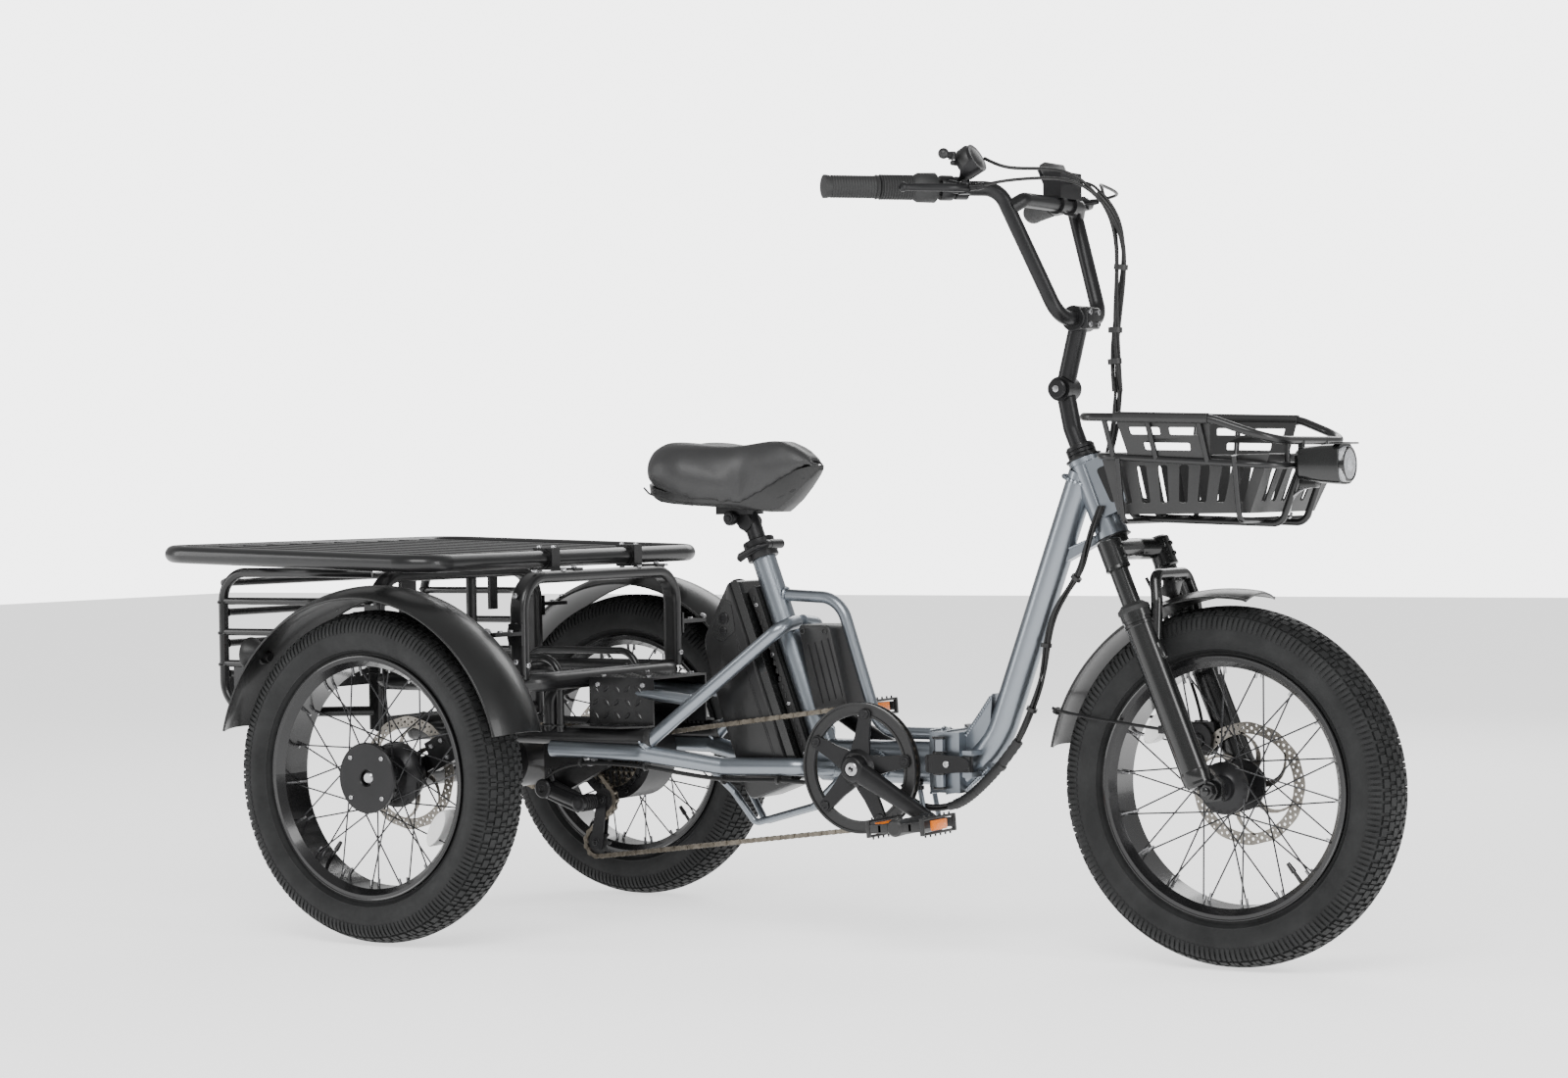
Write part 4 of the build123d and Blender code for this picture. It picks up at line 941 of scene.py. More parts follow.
# ---------------------------------------------------------------- saddle and post
SADDLE_STATIONS = (
    # x, half width, crown z, widest z, lower edge z
    (317, 42, 750, 729, 722), (323, 73, 765, 730, 716), (336, 98, 774, 730, 706),
    (356, 113, 778, 729, 697), (380, 119, 778, 727, 689), (405, 118, 776, 725, 682),
    (432, 105, 772, 722, 676), (462, 84, 770, 720, 672), (491, 66, 772, 722, 671),
    (520, 53, 777, 728, 686), (550, 43, 779, 735, 706), (575, 36, 771, 740, 723),
    (595, 28, 758, 740, 732), (607, 19, 745, 735, 731), (613, 8, 736, 732, 730))
KEEL_STATIONS = (
    # x, half width, top z, bottom z
    (326, 52, 716, 696), (336, 82, 712, 686), (356, 99, 706, 681), (380, 104, 700, 678),
    (405, 102, 696, 676), (432, 88, 692, 674), (462, 68, 690, 672), (491, 50, 692, 668),
    (520, 38, 704, 665), (540, 31, 716, 665), (560, 27, 724, 680), (580, 22, 732, 700),
    (598, 15, 736, 720), (606, 8, 737, 729))
SADDLE_PUFF = 4.0
VOXEL = 6.0


def saddle_rings(shrink=0.0):
    rings = []
    for x, w, top, side, edge in SADDLE_STATIONS:
        w, top, edge = w - shrink, top - shrink, edge + shrink
        dip = 6.0 if x < 450 else 2.0
        ring = []
        for f, z in ((0.0, edge + 12), (0.60, edge + 9), (0.84, edge + 2), (0.90, edge + 1),
                     (0.95, edge * 0.65 + side * 0.35), (0.99, edge * 0.3 + side * 0.7),
                     (1.0, side), (0.975, side * 0.7 + top * 0.3),
                     (0.90, side * 0.42 + top * 0.58), (0.78, side * 0.18 + top * 0.82),
                     (0.60, top - 1.5), (0.40, top),
                     (0.18, top - dip * 0.6), (0.0, top - dip)):
            ring.append((x, w * f, z))
        ring += [(x0, -y0, z0) for x0, y0, z0 in reversed(ring[1:-1])]
        rings.append(ring)
    return rings


def puffed(mesh):
    # voxel remesh, then a short cloth inflation whose travel is capped
    holder = bpy.data.objects.new("pad", mesh)
    bpy.context.scene.collection.objects.link(holder)
    remesh = holder.modifiers.new("remesh", "REMESH")
    remesh.mode = "VOXEL"
    remesh.voxel_size = VOXEL * MM
    bpy.context.view_layer.update()
    solid = bpy.data.meshes.new_from_object(holder.evaluated_get(
        bpy.context.evaluated_depsgraph_get()))
    holder.modifiers.clear()
    holder.data = solid
    start = [v.co.copy() for v in solid.vertices]
    cloth = holder.modifiers.new("cloth", "CLOTH")
    cloth.settings.use_pressure = True
    cloth.settings.uniform_pressure_force = 4.0
    cloth.settings.effector_weights.gravity = 0.0
    scene = bpy.context.scene
    for step in range(1, 17):
        scene.frame_set(step)
    result = bpy.data.meshes.new_from_object(holder.evaluated_get(
        bpy.context.evaluated_depsgraph_get()))
    scene.frame_set(1)
    for v, rest in zip(result.vertices, start):
        move = v.co - rest
        if move.length > SADDLE_PUFF * MM:
            v.co = rest + move.normalized() * SADDLE_PUFF * MM
    bpy.data.objects.remove(holder)
    return result


def build_saddle():
    shape = Shape()
    shape.grid(saddle_rings(SADDLE_PUFF))
    mesh = raw_mesh(shape, "saddle")
    mesh.transform(Matrix.Scale(MM, 4))
    mesh = puffed(mesh)
    mesh["scaled"] = 1
    mesh.polygons.foreach_set("use_smooth", [True] * len(mesh.polygons))
    mesh.materials.clear()
    mesh.materials.append(COVER)
    pad = finish_piece("saddle_pad", mesh, COVER, "seat", 0.0, ("saddle",))
    smooth = pad.modifiers.new("smooth", "SMOOTH")
    smooth.factor = 0.5
    smooth.iterations = 6
    sub = pad.modifiers.new("round", "SUBSURF")
    sub.levels = sub.render_levels = 1
    base = Shape()
    rings = []
    for x, w, top, low in KEEL_STATIONS:
        rings.append([(x, w * f, low + (top - low) * h)
                      for f, h in ((-0.4, 0.0), (0.4, 0.0), (0.8, 0.10), (0.96, 0.42), (1.0, 1.0),
                                   (-1.0, 1.0), (-0.96, 0.42), (-0.8, 0.10))])
    base.grid(rings)
    base.make("saddle_base", PLASTIC, "seat", 0.0, (), 40.0)
    slots = Shape()
    for side in SIDES:
        for x, z, reach in ((520, 684, 9), (545, 684, 8), (582, 712, 5), (566, 694, 4)):
            w = 30.0 - (x - 520) * 0.22
            slots.sweep([(x - reach, side * (w + 3.2), z + 4 - reach * 0.5),
                         (x, side * (w + 2.4), z + 4),
                         (x + reach, side * (w + 0.6), z + 4 + reach * 0.5)], 1.8, 8)
        slots.sweep([(336, side * 96, 706), (356, side * 111, 697), (380, side * 115, 690),
                     (405, side * 112, 683), (432, side * 100, 678)], 1.6, 8)
    slots.make("saddle_piping", GRIP_MAT, "seat", slot="saddle_cover")
    head = Shape()
    head.rod((452, -34, 656), (452, 34, 656), 9, seg=24)
    for side in SIDES:
        head.disc((452, side * 30, 656), (0, side, 0),
                  [(-8, 11.5), (0, 11.5), (2, 10.5), (2, 6)], 28)
        head.hexagon((452, side * 32, 656), (0, side, 0), 5, 4)
    head.rod(seat_at(30, 0), (456, 0, 662), 15, 17, seg=32)
    head.make("saddle_clamp", ANODISED, "seat", 0.8)


def seat_outline(points):
    return [(seat_at(a, b)[0], seat_at(a, b)[2]) for a, b in points]


def rounded(points, r):
    # polygon corners rounded with short arcs
    out = []
    n = len(points)
    for i in range(n):
        p0, p, p1 = Vector(points[i - 1]), Vector(points[i]), Vector(points[(i + 1) % n])
        a, b = (p0 - p), (p1 - p)
        cut = min(r, a.length * 0.45, b.length * 0.45)
        s, e = p + a.normalized() * cut, p + b.normalized() * cut
        for k in range(5):
            t = k / 4
            q = s * (1 - t) ** 2 + p * 2 * t * (1 - t) + e * t * t
            out.append((q.x, q.y))
    return out


def inset_slab(shape, outline, y0, y1, edge):
    # slab whose faces step in towards both sides, like a moulded shell
    cx = sum(p[0] for p in outline) / len(outline)
    cz = sum(p[1] for p in outline) / len(outline)

    def shrink(d):
        out = []
        for x, z in outline:
            v = Vector((x - cx, z - cz))
            v = v * (1 - d / v.length)
            out.append((cx + v.x, cz + v.y))
        return out
    rings = []
    for y, d in ((y0, edge), (y0 + edge * 0.3, edge * 0.3), (y0 + edge, 0), (y1 - edge, 0),
                 (y1 - edge * 0.3, edge * 0.3), (y1, edge)):
        rings.append([(x, y, z) for x, z in shrink(d)])
    shape.grid(rings)


def build_battery():
    case = Shape()
    outline = rounded(seat_outline([(-375, 52), (-375, 142), (-214, 142), (-108, 131), (-42, 54),
                                    (-42, 52)][::-1]), 16)
    inset_slab(case, outline, -41, 41, 7.0)
    case.make("battery_case", CASE, "battery", 0.0, ("battery",), 30.0)
    spine = Shape()
    spine.plate(rounded(seat_outline([(-373, 37), (-373, 66), (-60, 66), (-44, 48),
                                      (-44, 37)]), 5), [], -36, 36)
    spine.make("battery_spine", GLOSS, "battery", 2.0)
    seam = Shape()
    for side in SIDES:
        for b in (68, 71):
            seam.sweep([seat_at(-366, b, side * 40.4), seat_at(-220, b, side * 41.2),
                        seat_at(-86, b, side * 40.6)], 0.7, 6)
    seam.make("battery_seam", ANODISED, "battery")
    panel = Shape()
    window = rounded(seat_outline([(-72, 58), (-118, 66), (-126, 98), (-106, 112), (-64, 66)]), 7)
    panel.plate(window, [], -42.2, -39.5)
    panel.make("battery_panel", GLOSS, "battery", 0.5)
    lock = Shape()
    lock.disc(seat_at(-92, 80, -42), (0, -1, 0), [(-1, 9.5), (1.6, 9.5), (2.4, 8.4), (2.4, 5.0),
                                                  (0.9, 4.6), (0.9, 1.6)], 32)
    lock.disc(seat_at(-110, 88, -42), (0, -1, 0), [(-1, 7.0), (1.2, 7.0), (2.0, 6.0), (2.0, 3.6),
                                                    (0.7, 3.2), (0.7, 1.0)], 28)
    lock.make("battery_lock", ANODISED, "battery")
    handle = Shape()
    handle.sweep(spline_points([seat_at(-48, 50, 0), seat_at(-34, 60, 0), seat_at(-40, 84, 0),
                                seat_at(-62, 90, 0)], 16), 6.5, 12)
    handle.make("battery_handle", PLASTIC, "battery")
    rail = Shape()
    rail.plate(rounded(seat_outline([(-372, 19.5), (-372, 35.0), (-64, 35.0), (-60, 19.5)]), 3),
               [], -20, 20)
    for i in range(22):
        a = -360 + i * 13.4
        for side in SIDES:
            mid, half = Vector(seat_at(a, 29, side * 20.4)), Vector((2.4, 1.2, 4.2))
            rail.block(mid - half, mid + half, bevel=0.8)
    rail.make("battery_dock", PLASTIC, "rear_frame", 0.4)
    strip = Shape()
    for i in range(4):
        strip.bolt(seat_at(-90 - i * 82, 27, -20.6), (0, -1, 0), 3.2, 2.2)
    strip.make("dock_screws", STEEL, "rear_frame")


def build_controller():
    body = Shape()
    outline = rounded([(577, 490), (634, 490), (668, 357), (606, 357)][::-1], 9)
    inset_slab(body, outline, -31, 31, 4.0)
    body.make("controller_case", PLASTIC, "rear_frame", 0.0, ("controller_box",),
              30.0)
    ribs = Shape()
    low, high = Vector((612, 366)), Vector((582, 476))
    along = (high - low).normalized()
    across = Vector((along.y, -along.x))
    for side in SIDES:
        for i in range(4):
            off = 10 + i * 12.5
            p, q = low + across * off, high + across * (off - 1) - along * 20
            ribs.sweep([(p.x, side * 31.2, p.y), ((p.x + q.x) / 2, side * 31.6, (p.y + q.y) / 2),
                        (q.x, side * 31.2, q.y)], 1.0, 8)
    ribs.make("controller_ribs", ANODISED, "rear_frame")
    screws = Shape()
    for side in SIDES:
        for x in (586, 626):
            screws.disc((x, side * 31, 480), (0, side, 0), [(-1, 5), (1.0, 5), (1.0, 3.4),
                                                            (-0.5, 3.2)], 20)
    screws.make("controller_screws", GLOSS, "rear_frame")


# ---------------------------------------------------------------- basket and lamp
BASKET_LOW, BASKET_HIGH = 656.0, 738.0
LAMP_Y = -62


def wall(shape, corners, holes, thick):
    # a plate given on a unit square, mapped onto four corners (u0v0, u1v0, u1v1, u0v1)
    part = Shape()
    part.plate([(0, 0), (100, 0), (100, 100), (0, 100)], holes, 0, 1)
    c = [Vector(p) for p in corners]
    normal = (c[1] - c[0]).cross(c[3] - c[0]).normalized()
    for v in part.bm.verts:
        u, w = v.co.x / 100, v.co.z / 100
        low, high = c[0].lerp(c[1], u), c[3].lerp(c[2], u)
        v.co = low.lerp(high, w) + normal * v.co.y * thick
    shape.join(part.bm)


def slot_loop(u, v, du, dv):
    # rounded slot on the unit square
    out = []
    for cx, cy, start in ((u + du, v + dv, 0), (u - du, v + dv, 1), (u - du, v - dv, 2),
                          (u + du, v - dv, 3)):
        for k in range(6):
            a = pi / 2 * (start + k / 5)
            out.append((cx + min(du, 2.0) * (cos(a) - math.copysign(1, cx - u)),
                        cy + min(dv, 4.0) * (sin(a) - math.copysign(1, cy - v))))
    return out


def build_basket():
    shape = Shape()
    lo, hi = BASKET_LOW, BASKET_HIGH
    x0, x1, xb0, xb1 = 1159.0, 1421.0, 1177.0, 1384.0
    yt, yb = 123.0, 110.0
    side_slots = [slot_loop(10 + i * 13.3, 52, 3.0, 33) for i in range(7)]
    end_slots = [slot_loop(14 + i * 14.4, 52, 3.2, 33) for i in range(6)]
    for s in SIDES:
        wall(shape, [(xb0, s * yb, lo), (xb1, s * yb, lo), (x1, s * yt, hi), (x0, s * yt, hi)],
             side_slots, 2.6 * s)
    for xa, xb, s in ((xb0, x0, 1), (xb1, x1, -1)):
        wall(shape, [(xa, -yb, lo), (xa, yb, lo), (xb, yt, hi), (xb, -yt, hi)], end_slots, 2.6 * s)
    wall(shape, [(xb0, -yb, lo), (xb1, -yb, lo), (xb1, yb, lo), (xb0, yb, lo)],
         [slot_loop(16 + i * 17, 50, 3, 34) for i in range(5)], 2.6)
    shape.make("basket_tub", PLASTIC, "front_frame", 0.8, ("basket_liner",))
    panels = Shape()
    holes = [slot_loop(28, 69, 17, 10), slot_loop(72, 69, 17, 10), slot_loop(50, 29, 27, 10)]
    for s in SIDES:
        wall(panels, [(1206, s * 131, 738), (1334, s * 131, 733), (1342, s * 149, 788),
                      (1196, s * 149, 792)], holes, 2.4 * s)
    panels.make("basket_panels", PLASTIC, "front_frame", 0.6)
    sleeve = Shape()
    for s in SIDES:
        sleeve.rod((1196, s * 152, 795.2), (1342, s * 152, 789.2), 7.6, seg=20)
    sleeve.make("basket_sleeves", PLASTIC, "front_frame", 0.5)
    build_headlamp()


def lamp_ring(x, w, top, low, power, count):
    return [(x, LAMP_Y + c * w, (top + low) / 2 + e * (top - low) / 2)
            for c, e in (squircle(a, power) for a in turns(count))]


def build_headlamp():
    lamp = Shape()
    rings = []
    for x, w, top, low in ((1437, 14, 742, 704), (1446, 24, 748, 700), (1478, 27, 750, 696),
                           (1500, 28, 751, 694), (1508, 28, 752, 694)):
        rings.append(lamp_ring(x, w, top, low, 0.55, 24))
    lamp.grid(rings)
    lamp.block((1496, -92, 750), (1516, -32, 753), bevel=1.2)
    lamp.block((1440, -70, 690), (1466, -54, 702), bevel=2.0)
    lamp.disc((1508, LAMP_Y, 722), (1, 0, 0), [(0, 25.5), (6.5, 24.5), (7.5, 22.5), (6.0, 20.5),
                                             (1, 20)], 40)
    lamp.make("lamp_housing", GLOSS, "front_frame", 0.8, ("headlamp",))
    lens = Shape()
    rings = []
    for x, w, top, low in ((1505, 25, 748, 697), (1511, 24.5, 747.5, 697.5), (1514, 21, 744, 701)):
        rings.append(lamp_ring(x, w, top, low, 0.5, 28))
    lens.grid(rings)
    lens.disc((1513.6, LAMP_Y, 722), (1, 0, 0), [(-1, 10), (1.2, 9.5), (2.6, 7.0), (3.2, 3.0)], 32)
    lens.make("lamp_lens", CLEAR, "front_frame")
    wire = Shape()
    wire.sweep(spline_points([(1409, -34, 655), (1412, -36, 672), (1424, -42, 684),
                              (1440, -54, 690), (1456, -60, 692)], 40), 2.2, 10)
    wire.sweep(spline_points([(1409, -26, 655), (1409, -30, 646), (1409, -36, 650)], 12), 2.2, 10)
    wire.make("lamp_bracket", STEEL, "front_frame")


# ---------------------------------------------------------------- bars, grips and levers
def build_controls():
    right, left = Shape(), Shape()
    for shape, side in ((right, -1), (left, 1)):
        start = 186 if side < 0 else 106
        end = GRIP_LEN + 3
        axis = grip_axis(side)
        profile = [(start, 12.2), (start, 17), (start + 3, 18)]
        count = int((end - start - 12) / 4.2)
        for i in range(count):
            h = start + 5 + i * 4.2
            profile += [(h, 15.6), (h + 0.8, 16.5), (h + 2.8, 16.5), (h + 3.6, 15.6)]
        profile += [(end - 6, 17.0), (end - 1, 17.2), (end, 15), (end, 3)]
        shape.disc(grip_at(0, side=side), axis, profile, 40)
    right.make("grip_right", GRIP_MAT, "bars", 0.0, ("grips",), 50.0)
    left.make("grip_left", GRIP_MAT, "bars", 0.0, (), 50.0)
    twist = Shape()
    profile = [(98, 12), (98, 20), (100, 22), (126, 21.5), (131, 18.5)]
    for i in range(12):
        h = 134 + i * 4.0
        profile += [(h, 17.2), (h + 0.9, 18.3), (h + 2.4, 18.3), (h + 3.3, 17.2)]
    profile += [(183, 18.6), (184.5, 17), (184.5, 12)]
    twist.disc(grip_at(0), grip_axis(), profile, 40)
    twist.make("throttle_sleeve", GRIP_MAT, "throttle", 0.0, ("throttle_twist",),
               50.0)
    for side, body, node in ((-1, "lever_right", "brake_lever_right"),
                             (1, "lever_left", "brake_lever_left")):
        blade = Shape()
        path = spline_points([grip_at(64, 38, -4, side), grip_at(76, 49, -4, side),
                              grip_at(96, 53, -4, side), grip_at(130, 49, -4, side),
                              grip_at(158, 50, -4, side), grip_at(170, 51, -4, side)], 60)
        rings = []
        for i, p in enumerate(path):
            t = i / (len(path) - 1)
            a = Vector(path[max(0, i - 1)])
            b = Vector(path[min(len(path) - 1, i + 1)])
            d = (b - a).normalized()
            n = d.cross(Vector((0, 0, 1))).normalized()
            w, h = 5.2 - 1.4 * t, 6.4 - 1.2 * t
            if t > 0.93:
                w, h = 7.2, 7.2
            if t > 0.985:
                w, h = 4.0, 4.0
            rings.append([p + n * cos(q) * w + Vector((0, 0, 1)) * sin(q) * h
                          for q in turns(14)])
        blade.grid(rings)
        blade.disc(grip_at(66, 34, -8.2, side), (0, 0, 1), [(0, 8.4), (8.4, 8.4)], 24)
        blade.make(body + "_blade", ANODISED, body, 0.0, (node,))
    shells = Shape()
    for side in SIDES:
        axis = grip_axis(side)
        shells.disc(grip_at(82, 0, 0, side), axis, [(-10, 12), (-10, 17.5), (-8, 18.5), (8, 18.5),
                                                    (10, 17.5), (10, 12)], 36)
        shells.disc(grip_at(66, 34, 4, side), (0, 0, 1), [(-1, 8.6), (1.4, 8.2), (2.4, 6.0)], 24)
        shells.bolt(grip_at(66, 34, 6.2, side), (0, 0, 1), 4.0, 2.4)
        shells.rod(grip_at(84, 16, 2, side), grip_at(66, 28, -3, side), 9.5, 8.0, 18)
        shells.rod(grip_at(66, 30, -2, side), grip_at(50, 44, -2, side), 6.5, 4.6, 16)
        shells.rod(grip_at(50, 44, -2, side), grip_at(42, 51, -1, side), 5.4, 4.2, 16)
    shells.make("lever_perches", ANODISED, "bars", 0.6)
    pod = Shape()
    centre = grip_at(52, 22, 38)
    axis = Vector(grip_at(44, 30, 44)) - Vector(grip_at(60, 14, 30))
    pod.disc(centre, axis, [(-13, 12), (-12, 20), (-8, 22.5), (6, 22.5), (11, 19), (13, 13),
                            (13.5, 4)], 36)
    pod.disc(centre, -axis, [(12.8, 9), (14.2, 8.4), (14.8, 6.0)], 24)
    pod.make("shifter_pod", PLASTIC, "bars", 0.6)
    screen = Shape()
    turn = Matrix.Rotation(radians(-24), 3, "Y")
    screen.block((1001, 10, 1132), (1013, 72, 1182), turn, 2.4)
    screen.make("display_case", PLASTIC, "bars", 0.4)
    glass = Shape()
    glass.block((999.4, 14, 1137), (1001.6, 68, 1177), turn, 0.8)
    glass.bm.transform(Matrix.Translation((-5.4, 0, -2.2)))
    glass.make("display_glass", SCREEN, "bars")


# ---------------------------------------------------------------- cables
def strand(name, points, r, body, material=CABLE, replaces=()):
    shape = Shape()
    shape.sweep(spline_points(points, 12 * len(points)), r)
    shape.make(name, material, body, 0.0, replaces, 60.0, slot="cable_black")


def offset_path(points, radius, phase, twist):
    out = []
    for i, p in enumerate(points):
        a = phase + twist * i
        out.append((p[0] + radius * cos(a), p[1] + radius * sin(a), p[2]))
    return out


BUNDLE = [(1097, -3, 1128), (1119, -1, 1104), (1132, 0, 1064), (1132, 0, 1018), (1126, 1, 972),
          (1121, 0, 926), (1120, -1, 880), (1124, 0, 836)]
HEAD_RUN = [(1124, 0, 838), (1122, 0, 818), (1121, 0, 796), (1115, 0, 768), (1105, 0, 742),
            (1107, 0, 718)]
FRONT_RUN = [(1108, -27, 668), (1096, -31, 640), (1082, -24, 612), (1070, -17, 582),
             (1058, -15, 562), (1042, -15, 542), (1018, -16, 508), (1006, -15, 462),
             (1001, -16, 414), (980, -15, 366), (957, -16, 318), (926, -15, 280),
             (892, -16, 247), (864, -15, 226), (846, -15, 219)]
STAY_RUN = [(600, -52, 248), (556, -61, 251), (505, -62, 249), (455, -63, 248), (395, -79, 256),
            (330, -96, 268), (270, -101, 271), (210, -104, 271), (165, -106, 262),
            (140, -104, 244)]
TAIL_RUN = [(835, -15, 216), (812, -14, 211), (788, -15, 213), (766, -14, 224), (752, -15, 243)]


def build_cables():
    bars_end = ("bars", "steerer", at(1121, 0, 930), at(1121, 0, 842))
    head_end = ("steerer", "front_frame", at(1124, 0, 834), at(1118, 0, 772))
    for i in range(5):
        path = offset_path(BUNDLE, 6.2, 2 * pi * i / 5, 0.9 if i % 2 else 0.5)
        strand(f"bundle_strand_{i}", path, 2.8, bars_end,
               replaces=("bar_cables",) if i == 0 else ())
        lower = offset_path(HEAD_RUN, 4.6, 2 * pi * i / 5 + 0.3, 0.4)
        strand(f"head_strand_{i}", lower, 2.2, head_end)
    for side in SIDES:
        for k, lift in enumerate((0, 14) if side < 0 else (0,)):
            path = [grip_at(44 - 8 * k, 50 - 12 * k, 40 * k, side),
                    grip_at(26, 68, 4 + 22 * k, side),
                    grip_at(6, 84, 6 + lift, side), (1060, side * 68, 1150 + lift),
                    (1086, side * 34, 1142 + lift * 0.6), (1100, side * 7, 1122),
                    (1116, side * 3, 1104), (1126, side * 2, 1076)]
            strand(f"hand_cable_{'right' if side < 0 else 'left'}_{k}", path, 2.5, "bars")
    strand("display_cable", [(1016, 40, 1150), (1040, 40, 1152), (1066, 34, 1148),
                             (1090, 18, 1134), (1108, 6, 1112), (1122, 2, 1086)], 2.2, "bars")
    ties = Shape()
    for i, (p, q) in enumerate(zip(BUNDLE, BUNDLE[1:])):
        if i in (3, 5, 6):
            ties.disc(p, Vector(q) - Vector(p), [(-4, 8.0), (-4, 10.4), (4, 10.4), (4, 8.0)], 24)
    ties.make("bundle_ties", PLASTIC, bars_end)
    for i in range(4):
        a = 2 * pi * i / 4 + 0.4
        path = [(x + 3.6 * cos(a + 0.5 * k), y + 3.6 * sin(a + 0.5 * k), z)
                for k, (x, y, z) in enumerate(FRONT_RUN)]
        strand(f"front_strand_{i}", path, 2.3, "front_frame",
               replaces=("front_cables",) if i == 0 else ())
    wrap = Shape()
    wrap.sweep(spline_points(FRONT_RUN[10:], 60), lambda t: 7.6 + 0.5 * sin(t * 120), 14)
    wrap.make("front_wrap", GRIP_MAT, "front_frame")
    clips = Shape()
    for i in (4, 7, 9, 11):
        p, q = FRONT_RUN[i], FRONT_RUN[i + 1]
        clips.disc(p, Vector(q) - Vector(p), [(-3, 6), (-3, 8.4), (3, 8.4), (3, 6)], 20)
    clips.make("front_ties", PLASTIC, "front_frame")
    for i in range(3):
        off = (i - 1) * 5.2
        path = [(x, y + off * 0.6, z - abs(off) * 0.3) for x, y, z in STAY_RUN]
        strand(f"stay_strand_{i}", path, 2.4, "rear_frame",
               replaces=("rear_cables",) if i == 0 else ())
    clip = Shape()
    for i in (1, 3, 5, 7):
        x, y, z = STAY_RUN[i]
        clip.disc((x, y, z - 0.8), (1, 0, 0),
                  [(-2.2, 5.6), (-2.2, 7.6), (2.2, 7.6), (2.2, 5.6)], 24)
    clip.make("stay_clips", PLASTIC, "rear_frame")
    for i in range(3):
        a = 2 * pi * i / 3
        path = [(x, y + 3.2 * cos(a), z + 3.2 * sin(a)) for x, y, z in TAIL_RUN]
        strand(f"hinge_strand_{i}", path, 2.6, "rear_frame")
    strand("hinge_loop", [(846, -15, 219), (842, -15, 217), (838, -15, 216.4), (835, -15, 216)],
           6.5, "rear_frame", GRIP_MAT)


build_saddle()
build_battery()
build_controller()
build_basket()
build_controls()
build_cables()

# ---------------------------------------------------------------- welds
def bead(shape, centre, axis, r, stretch=1.0, size=2.6):
    # a rippled weld bead round a tube; stretch makes it an ellipse for a slanted joint
    c, d = Vector(centre), Vector(axis).normalized()
    u = d.orthogonal().normalized() if abs(d.y) > 0.9 else d.cross(Vector((0, 1, 0))).normalized()
    w = d.cross(u)
    count = 3 * int(r * 1.4)
    pts, sizes = [], []
    for i in range(count):
        a = 2 * pi * i / count
        pts.append(c + (u * cos(a) * stretch + w * sin(a)) * r)
        sizes.append(size * (1.0 + 0.22 * cos(2 * pi * i / 3)))
    rings = []
    for i, p in enumerate(pts):
        tangent = (pts[(i + 1) % count] - pts[i - 1]).normalized()
        out = (p - c).normalized()
        side = tangent.cross(out)
        rings.append([p + (out * cos(t) + side * sin(t)) * sizes[i]
                      for t in turns(6)])
    shape.grid(rings, closed_loop=True)


def seam_bead(shape, p, q, size=2.4):
    # straight rippled bead along an edge
    p, q = Vector(p), Vector(q)
    count = max(4, int((q - p).length / 2.2))
    shape.sweep([p.lerp(q, i / count) for i in range(count + 1)],
                lambda t: size * (1.0 + 0.2 * cos(pi * round(t * count))), 6)


def build_welds():
    front = Shape()
    bead(front, (1060, 0, 704), (0.35, 0, 0.93), 22.6, 1.25)
    bead(front, (872, 0, 279), (1, 0, 0.95), 24.0, 1.1)
    for y in (-16, 16):
        seam_bead(front, (866, y * 0.9, 324), (910, y * 0.9, 384))
        seam_bead(front, (866, y, 243), (904, y, 276))
    for z in (331, 237):
        seam_bead(front, (842, -34, z), (842, 30, z), 1.8)
    for y in (-24.6, 24.6):
        seam_bead(front, fork_at(-50, 8, y), fork_at(32, 8, y), 1.8)
    for side in SIDES:
        seam_bead(front, (1036, side * 9, 603), (1086, side * 9, 622), 1.8)
    front.make("front_welds", GREY, "front_frame")
    rear = Shape()
    bead(rear, (537.5, 0, 534.9), (1, 0, -0.05), 10.2, 1.1, 2.2)
    bead(rear, (820, 0, 324), (1, 0, 0), 10.2, 1.0, 2.2)
    # the main tube meets the round seat tube along a saddle-shaped line
    rear.sweep([seat_at(-330 + 21.0 * cos(a), -math.sqrt(20.5 ** 2 - (20.0 * sin(a)) ** 2),
                        20.0 * sin(a)) for a in turns(40)], 2.4, 6, True)
    for side in SIDES:
        bead(rear, (330, side * 97, 302), (0.77, 0, 0.62), 11.8, 1.15, 2.2)
        bead(rear, (410, side * 80, 369), (1, 0, -0.1), 9.8, 1.2, 2.0)
        bead(rear, (709, side * 28, 274), (0, 1, 0), 24.8, 1.0, 2.2)
    seam_bead(rear, (814, -34, 331), (814, 28, 331), 2.0)
    seam_bead(rear, (814, -34, 237), (814, 28, 237), 2.0)
    rear.make("rear_welds", GREY, "rear_frame")
    cargo = Shape()
    for side in SIDES:
        bead(cargo, (146, side * TUBE_Y, 328), (0, 0, 1), 14.8, 1.0, 2.2)
        bead(cargo, (178, side * 76, 401), (0.5, -side, 0.2), 14.8, 1.1, 2.2)
        bead(cargo, (-120, side * TUBE_Y, 326), (1, 0, 0), 15.4, 1.0, 2.2)
        bead(cargo, (172, side * 107, 328), (0, 0, 1), 6.8, 1.0, 1.8)
        bead(cargo, (-60, side * 107, 328), (0, 0, 1), 6.8, 1.0, 1.8)
        seam_bead(cargo, (-20, side * 110, 304), (20, side * 110, 304), 2.0)
        seam_bead(cargo, (122, side * 85, 318), (240, side * 85, 304), 1.8)
        for x in (HOOP_FRONT, HOOP_REAR):
            seam_bead(cargo, (x - 14, side * HOOP_Y, 414), (x + 14, side * HOOP_Y, 414), 1.8)
    cargo.make("cargo_welds", BLACK, "rear_frame")


